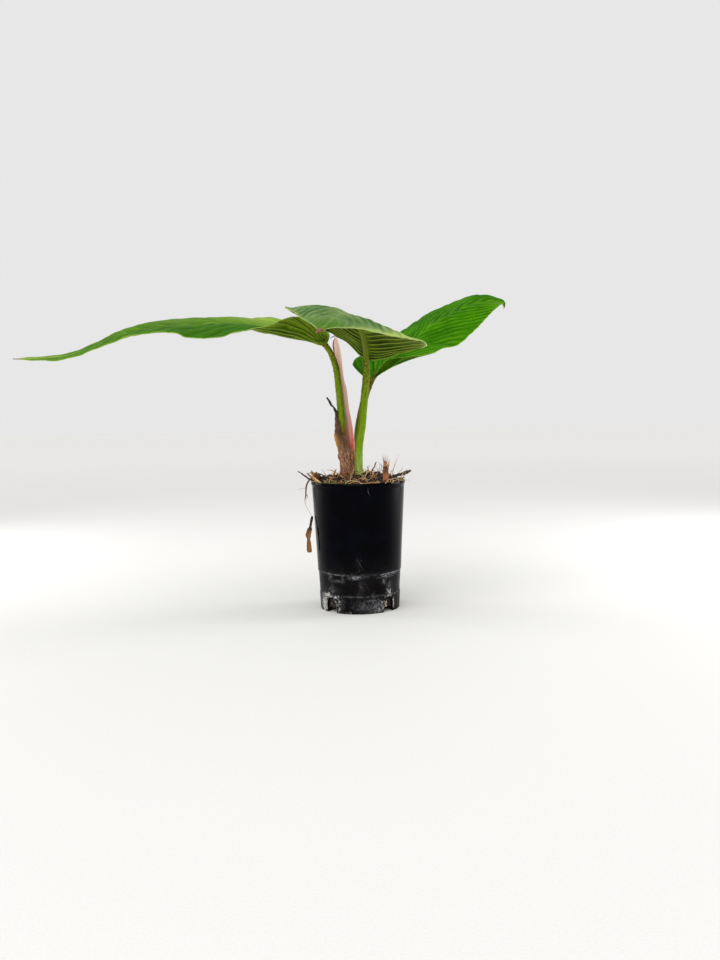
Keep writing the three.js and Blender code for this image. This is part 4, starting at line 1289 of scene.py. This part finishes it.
def add_chip(body, random, centre, size, tilt, tone, turn=None):
    """A broken flat chip of bark; size is its length, width and thickness."""
    length, width, thickness = size
    turn = random.uniform(0, TURN) if turn is None else turn
    outline = CHIP_CORNERS * (1 + random.uniform(-0.22, 0.22, CHIP_CORNERS.shape))
    rings = []
    for level, shrink in ((-0.5, 0.82), (-0.2, 1.0), (0.25, 0.97), (0.5, 0.78)):
        lift = level * thickness + random.uniform(-0.08, 0.08, len(outline)) * thickness
        rings.append(np.column_stack([outline * [length * shrink, width * shrink], lift]))
    points, faces = closed_rings(np.array(rings), (0, 0, -0.5 * thickness), (0, 0, 0.5 * thickness))
    basis = Matrix.Rotation(turn, 3, "Z") @ Matrix.Rotation(tilt[0], 3, "Y") @ Matrix.Rotation(tilt[1], 3, "X")
    streak = points * [0.12, 1.0, 1.0] + random.uniform(0, 40, 3)
    body.add(points @ np.array(basis).T + np.asarray(centre), faces, tone=tone, streak=streak)


def heap_place(random, reach, clear):
    """A random place on the heap, away from the stalks."""
    while True:
        distance = reach * math.sqrt(random.uniform())
        turn = random.uniform(0, TURN)
        x, y = distance * math.cos(turn), distance * math.sin(turn)
        if math.dist((x, y), STALKS_PLACE) > clear:
            return x, y


def tilted(random, spread):
    return random.normal(0, spread), random.normal(0, spread)


CHIP_STOPS = [
    (0.0, (14, 9, 7)), (0.25, (38, 23, 14)), (0.5, (104, 62, 34)), (0.75, (166, 114, 66)),
    (1.0, (212, 178, 128)),
]
FIBRE_STOPS = [(0.0, (48, 28, 16)), (0.35, (118, 78, 42)), (0.65, (176, 134, 80)), (1.0, (232, 210, 164))]


def make_chips():
    """Chips, then crumbs."""
    random = np.random.default_rng(21)
    body = Body("tone", "streak")
    for _ in range(230):
        x, y = heap_place(random, 33.0, 8.0)
        length = random.uniform(SHORT_CHIP, 9.0)
        if math.hypot(x, y) + length / 2 > CHIP_REACH:
            length = SHORT_CHIP
        size = (length, length * random.uniform(0.3, 0.6), random.uniform(0.9, 2.4))
        tilt = tilted(random, 0.3)
        add_chip(body, random, on_heap(x, y, random.uniform(-0.5, 0.8)), size, tilt, random.beta(1.1, 2.2))
    for _ in range(900):
        x, y = heap_place(random, 34.3, 6.0)
        length = random.uniform(0.8, 2.6)
        size = (length, length * random.uniform(0.5, 0.9), length * random.uniform(0.3, 0.6))
        tilt = tilted(random, 0.5)
        add_chip(body, random, on_heap(x, y, random.uniform(-0.2, 1.0)), size, tilt, random.beta(0.9, 1.7))
    add_bark("mix_chips", body, CHIP_STOPS, smooth=False)


def curl(random, start, heading, length, rise, curlness):
    """A wandering line from start, for a fibre."""
    points = [np.asarray(start, float)]
    turn = random.normal(0, curlness)
    step = length / 6
    for _ in range(6):
        heading += turn + random.normal(0, curlness * 0.5)
        rise -= random.uniform(0.05, 0.35)
        points.append(points[-1] + unit(polar(1.0, heading, rise)) * step)
    return np.array(points)


def make_fibres():
    """Fine fibres, some of them upright, then coarse ones that keep inside the rim."""
    random = np.random.default_rng(5)
    body = Body("tone", "streak")
    for _ in range(330):
        x, y = heap_place(random, 33.5, 7.0)
        length = random.uniform(4, 15) * (0.7 if x < FEWER_LEFT_OF else 1.0)
        tall = random.uniform() < (0.12 if x < FEWER_LEFT_OF else 0.25)
        rise = random.uniform(1.2, 3.0) if tall else random.uniform(-0.2, 0.7)
        path = curl(random, on_heap(x, y), random.uniform(0, 6.28), length, rise, 0.35)
        out = np.hypot(path[:, 0], path[:, 1])
        floor = np.where(out < CHIP_REACH, mix_height(path[:, 0], path[:, 1]) + 0.2, OVER_RIM)
        path[1:, 2] = np.maximum(path[1:, 2], floor[1:])
        radius = random.uniform(0.1, 0.24)
        add_rod(body, path, (radius, radius, radius * 0.5), random.beta(1.2, 1.2), 5, 12, 0.5)
    for _ in range(70):
        x, y = heap_place(random, 33.0, 8.0)
        heading, length, rise = random.uniform(0, 6.28), random.uniform(9, 24), random.uniform(0, 0.9)
        path = curl(random, on_heap(x, y, 0.2), heading, length, rise, 0.3)
        floor = mix_height(path[:, 0], path[:, 1]) + 0.5
        inward = np.minimum(1, 35.5 / np.hypot(path[:, 0], path[:, 1]))
        path[:, :2] *= np.where(path[:, 2] < 103, inward, 1)[:, None]
        path[:, 2] = np.maximum(path[:, 2], floor)
        radius = random.uniform(0.25, 0.5)
        add_rod(body, path, (radius, radius, radius * 0.6), random.uniform(0.3, 1.0), 7, 22, 0.5)
    add_bark("mix_fibres", body, FIBRE_STOPS)


# Loose pieces
MOSSY_STICK = [(17, -12, 101.4), (26, -8, 104.6), (35, -3, 106.4), (42, 2, 108.4)]
LEFT_TWIG = [
    (-26, -11, 100), (-34.3, -10.6, 103.1), (-38, -10.2, 104.2), (-45.5, -10, 109.6), (-47.2, -10, 110.3),
]
HANGING_ROOT = [
    (-29, -2, 99), (-33.5, -2, 103.4), (-37.6, -2.4, 103.6), (-40.8, -3, 99), (-41.6, -4, 92), (-42, -5, 84),
    (-36.8, -5.8, 74),
]
HUSK_FOOT = (22, 1, 101)
BARK_STOPS = [(0.0, (34, 20, 14)), (0.35, (84, 50, 28)), (0.7, (142, 92, 50)), (1.0, (182, 132, 84))]
HUSK_STOPS = [(0.0, (60, 30, 14)), (0.5, (122, 66, 30)), (0.8, (164, 106, 58)), (1.0, (198, 158, 112))]
# Place, size, turn, pitch and tone
RIM_FLAKES = (
    ((-34.6, -6, 105.4), (10.5, 4.2, 1.4), 0.2, 1.95, 0.75),
    ((-32.4, -5.2, 104), (11, 5, 1.4), 0.9, 1.75, 0.55),
    ((-31.4, -7, 103.2), (10, 4, 1.4), -0.5, 1.2, 0.35),
)
FLECK_WIDTHS = [
    (0, 0.6), (0.05, 0.9), (0.3, 0.8), (0.36, 2.0), (0.55, 2.6), (0.62, 1.8), (0.8, 2.0), (0.95, 1.7), (1, 1.2),
]
FLECK_OFFSETS = [(0, 2.2), (0.15, 1.3), (0.3, 0.4), (0.5, -1.3), (0.7, -1.0), (1, -0.6)]


def rough_rod(path, radii, sides, steps, bumps):
    """Points, faces and streaks of a rod with bumps of given height, width and seed."""
    line = Curve(path)
    points, faces, along, around = tube(line, radii, sides, steps)
    rise = sum(height * lumps(points, size, seed) for height, size, seed in bumps)
    points = points + unit(points - line.at(along)) * rise[:, None]
    return points, faces, streak_vector(along, around, line.length)


def make_stick():
    body = Body("tone", "streak", "moss")
    points, faces, streak = rough_rod(
        MOSSY_STICK, (1.1, 1.1, 1.0, 1.05, 1.4, 0.95), 16, 60, ((0.2, 2.2, 2), (0.1, 0.9, 3)),
    )
    moss = smoothstep(0.1, 0.8, lumps(points, 3, 6)) * 0.7
    body.add(points, faces, tone=0.02, moss=moss, streak=streak)
    add_bark("stick_mossy", body, BARK_STOPS, ["mossy_stick"], moss=(82, 84, 38))


def make_twig_and_root():
    twig = Body("tone", "streak")
    points, faces, streak = rough_rod(LEFT_TWIG, (0.8, 0.7, 0.7, 0.6, 0.4), 10, 40, ((0.12, 1.6, 4),))
    twig.add(points, faces, tone=0.08, streak=streak)
    add_bark("twig_dark", twig, BARK_STOPS, ["twig_left"])
    root = Body("tone", "streak")
    add_rod(root, HANGING_ROOT, (0.8, 0.7, 0.7, 0.65, 0.5, 0.13, 0.11, 0.11), 0.5, 8, 90)
    add_bark("root_thread", root, BARK_STOPS, ["hanging_root"])


def make_husk_and_flakes():
    """Both draw from one generator."""
    random = np.random.default_rng(17)
    husk = Body("tone", "streak")
    x, y, z = HUSK_FOOT
    line = [(x, y, z), (x, y, z + 8), (x, y, z + 15.5)]
    points, faces, along, around = tube(line, (2.5, 2.3, 1.9, 1.0), 24, 30)
    points = points + unit(points - [x, y, 0]) * (0.35 * np.sin(9 * around))[:, None] * [1, 1, 0]
    husk.add(points, faces, tone=0.6, streak=streak_vector(along, around, 16, 1.6))
    for _ in range(34):
        turn = random.uniform(0, TURN)
        lean = random.uniform(0.3, 1.9)
        tip = lerp(z + 12, 127, random.uniform() ** 2.4)
        path = [
            (x + lean * math.cos(turn) * share, y + lean * math.sin(turn) * share, height)
            for share, height in ((0.5, z + 4), (0.8, (z + 4 + tip) / 2), (1.4, tip))
        ]
        add_rod(husk, path, (0.26, 0.18, 0.06), random.uniform(0.5, 1.0), 5, 10)
    add_bark("husk_bristles", husk, HUSK_STOPS, ["husk_tuft"])
    flakes = Body("tone", "streak")
    for centre, size, turn, pitch, tone in RIM_FLAKES:
        add_chip(flakes, random, centre, size, (-pitch, 0), tone, turn)
    add_bark("rim_flakes", flakes, BARK_STOPS, ["bark_flakes"], smooth=False)


def make_fleck():
    def place(t, s):
        half = keyed(FLECK_WIDTHS, t) * (1 + 0.2 * lumps(xyz(t * 30), 4, 8))
        x = -39.0 + keyed(FLECK_OFFSETS, t) + (s - 0.5) * 2 * half * 0.85
        y = -5.9 + 0.6 * np.sin(3 * s) + 0.3 * lumps(xyz(x, t * 29), 3, 9)
        return xyz(x, y, 74.2 - 29 * t)

    body = Body("tone", "streak")
    make_sheet(
        body, place, 60, 9, 0.7,
        tone=lambda t, s: 0.08 + 0.6 * smoothstep(0.25, 0.5, t), streak=lambda t, s: xyz(s * 5, 0, t * 3),
    )
    add_bark("bark_fleck", body, BARK_STOPS, ["hanging_bark"])


# Sticks, straws and roots that show one by one: path, radii and tone
SINGLES = (
    ([(9, -8, 103), (10.6, -8, 108), (12.4, -8, 112), (14.6, -8, 116.6)], (0.7, 0.75, 0.6, 0.6, 0.4), 0.1),
    ([(10.8, -8, 108.4), (8.4, -8.4, 110.6), (7.6, -8.6, 113.4)], (0.4, 0.3, 0.15), 0.25),
    ([(-20.2, -6, 102.4), (-18.9, -6, 107.5), (-17, -6, 111.4)], (1.1, 1.0, 0.35), 0.62),
    ([(-17.6, -7, 102.4), (-14.8, -7, 106), (-13.2, -7, 109.6)], (0.9, 0.7, 0.25), 0.5),
    ([(-15.5, -9, 103), (-11.5, -10, 107.4), (-7.6, -9, 108.6), (-5.4, -9, 105)], (0.6, 0.7, 0.6, 0.5), 0.5),
    ([(-14, -12, 103), (-10, -13, 105.6), (-5.6, -12, 105.8)], (0.6, 0.7, 0.4), 0.4),
    ([(-22, -14, 103), (-14, -18, 103.6), (-7, -17, 103)], (0.7, 0.8, 0.4), 0.55),
    ([(4.5, -34.6, 102.0), (10, -33.6, 102.4), (17, -31.4, 102.6)], (0.35, 0.5, 0.4), 0.72),
    ([(33, -5, 101.6), (34.6, -5, 105.4), (36.4, -5, 109)], (0.5, 0.4, 0.2), 0.8),
    ([(33.6, -5, 102.6), (37, -4.6, 105.2), (37.4, -4.4, 107.8)], (0.35, 0.3, 0.15), 0.85),
    ([(26.6, -9, 105), (29, -9, 113), (32.5, -9, 122.4)], (0.22, 0.16, 0.07), 0.6),
    ([(25, 2, 105), (29, 2, 111), (30, 3, 117)], (0.22, 0.16, 0.07), 0.8),
    ([(35, -8, 103), (37, -8, 107), (38.6, -8, 110.4)], (0.3, 0.22, 0.1), 0.45),
    ([(21, -31, 101.4), (24.4, -28, 104.6), (27.6, -27, 103.2), (26, -27.6, 101.4)], (0.22, 0.24, 0.2), 0.86),
    ([(24, -27, 101.2), (26.4, -25.4, 104.4), (30.6, -22, 104.8), (32, -20, 102)], (0.18, 0.2, 0.16), 0.9),
    ([(-8, -33.6, 101.4), (-4, -33, 103.6), (0.6, -33.4, 103.4), (2, -33.8, 101.6)], (0.22, 0.25, 0.2), 0.84),
    ([(-2, -24, 102), (2, -26, 105.6), (6.5, -27, 104.8), (7.5, -28, 102)], (0.25, 0.3, 0.25), 0.8),
    ([(5, -20, 103), (7, -21, 109.4), (11, -21, 110.6), (13, -21, 106)], (0.22, 0.22, 0.16), 0.9),
    ([(13, -16, 104), (16, -15, 110), (17.6, -15, 114)], (0.3, 0.22, 0.1), 0.75),
    ([(-41.4, -4, 96), (-44.4, -4.6, 96.4), (-47.8, -5, 95.4)], (0.2, 0.13, 0.06), 0.7),
    ([(-41.6, -4, 92.4), (-40.4, -4.4, 90), (-41.2, -4.6, 87.6)], (0.35, 0.3, 0.1), 0.5),
    ([(-30, -15, 100.6), (-35.2, -12.6, 104.6), (-40, -10.6, 108.9)], (1.0, 0.95, 0.35), 0.3),
    ([(-29, -17.5, 100.4), (-33.6, -15, 104), (-37.6, -13.4, 107.6)], (0.9, 0.85, 0.3), 0.66),
    ([(-28, -19, 100.6), (-31.6, -17.6, 103.6), (-34.6, -16.6, 106)], (0.8, 0.8, 0.3), 0.85),
    ([(-30, -12, 101), (-34.6, -9.6, 105.4), (-37.4, -8, 109.4)], (0.9, 0.8, 0.3), 0.75),
)
SINGLE_STOPS = [
    (0.0, (14, 9, 7)), (0.3, (70, 42, 24)), (0.6, (164, 102, 52)), (0.85, (206, 166, 112)),
    (1.0, (228, 216, 188)),
]
# Size, place and tone
SINGLE_CHIPS = (
    ((5, 5, 4.6), (15.6, -8, 106.8), 0.0), ((6, 4, 3), (4.4, -14, 104.6), 0.02),
    ((7, 4, 3), (-15, -20, 102.6), 0.0), ((8, 5, 3), (-24, -10, 104), 0.05), ((6, 4, 3), (-6, -22, 103), 0.02),
    ((9, 6, 3), (28, -12, 103), 0.0), ((5, 4, 2.5), (-28, -4, 104.4), 0.1), ((3, 2, 1), (-12.2, -13, 105), 1.0),
    ((2.4, 1.6, 0.8), (2.6, -32.4, 101.8), 1.0),
)
NOTCH_ROOTS = 9               # behind each notch
MOSS_STOPS = [(0.0, (36, 38, 14)), (0.5, (78, 84, 34)), (1.0, (124, 128, 64))]
PLATE_STOPS = [(0.0, (44, 24, 14)), (0.4, (132, 74, 36)), (0.7, (186, 120, 66)), (1.0, (216, 184, 142))]


def add_notch_root(body, random, degrees):
    heights = np.sort(random.uniform(3.2, 11.4, 2)) if random.uniform() < 0.6 else random.uniform(3.2, 10, 2)
    turns = math.radians(degrees) + random.uniform(-0.17, 0.17, 2)
    reach = 29.4 + random.uniform(-0.5, 0.2)
    middle_turn = turns.mean() + random.uniform(-0.05, 0.05)
    middle_height = heights.mean() + random.uniform(-1.5, 1.5)
    turns, heights = np.insert(turns, 1, middle_turn), np.insert(heights, 1, middle_height)
    radius = random.uniform(0.2, 0.55)
    tone = random.choice([0.3, 0.45, 0.6, 0.95])
    add_rod(body, polar(reach, turns, heights), (radius, radius, radius * 0.6), tone, 6, 12)


def make_singles():
    """Single pieces, moss and the husk plate; all draw from one generator."""
    random = np.random.default_rng(8)
    body = Body("tone", "streak")
    for path, radii, tone in SINGLES:
        path = np.array(path, float)
        path[1:-1] += random.uniform(-0.25, 0.25, path[1:-1].shape)
        add_rod(body, path, radii, tone, 8, 26)
    for degrees in NOTCH_TURNS:
        for _ in range(NOTCH_ROOTS):
            add_notch_root(body, random, degrees)
    for size, centre, tone in SINGLE_CHIPS:
        add_chip(body, random, centre, size, tilted(random, 0.2), tone)
    add_bark("mix_singles", body, SINGLE_STOPS)

    moss = Body("tone", "streak")
    for _ in range(90):
        turn = math.radians(random.normal(-132, 5))
        reach = random.uniform(30, 34.4)
        size = random.uniform(0.8, 2.0)
        centre = polar(reach, turn, random.uniform(101.2, 102.7))
        add_chip(moss, random, centre, (size, size * 0.8, size * 0.6), tilted(random, 0.5), random.uniform())
    add_bark("mix_moss", moss, MOSS_STOPS, smooth=False)

    def place(t, s):
        turn = np.radians(lerp(-170, -8, s))
        reach = 2.0 * (1 - 0.2 * t) + 0.12 * np.sin(26 * s)
        x = 21.4 + 0.6 * t + reach * np.cos(turn)
        y = -21.5 + 1.4 * t + 0.7 * reach * np.sin(turn)
        return xyz(x, y, 100.4 + t * (13.2 + 1.6 * lumps(xyz(s * 9), 2.0, 3)))

    def tone(t, s):
        return 0.55 - 0.4 * smoothstep(0.45, 0.75, t) * smoothstep(0.9, 0.4, np.abs(s - 0.5) * 2)

    husk = Body("tone", "streak")
    make_sheet(husk, place, 30, 24, 0.6, tone=tone, streak=lambda t, s: xyz(s * 9, 0, t * 1.6))
    for _ in range(26):
        side = random.uniform(-1.7, 1.9)
        tip = random.uniform(114, 121)
        middle = (22 + side * 1.1, -20.4, lerp(108, tip, 0.5))
        path = [(21.8 + side, -20.8, 108), middle, (22.2 + side * 1.5, -20, tip)]
        add_rod(husk, path, (0.22, 0.16, 0.06), random.uniform(0.6, 1.0), 5, 8)
    add_bark("husk_plate", husk, PLATE_STOPS)


make_ground()
make_chips()
make_fibres()
make_stick()
make_twig_and_root()
make_husk_and_flakes()
make_fleck()
make_singles()

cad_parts["stem"].data.materials.clear()
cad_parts["stem"].data.materials.append(stem_finish())
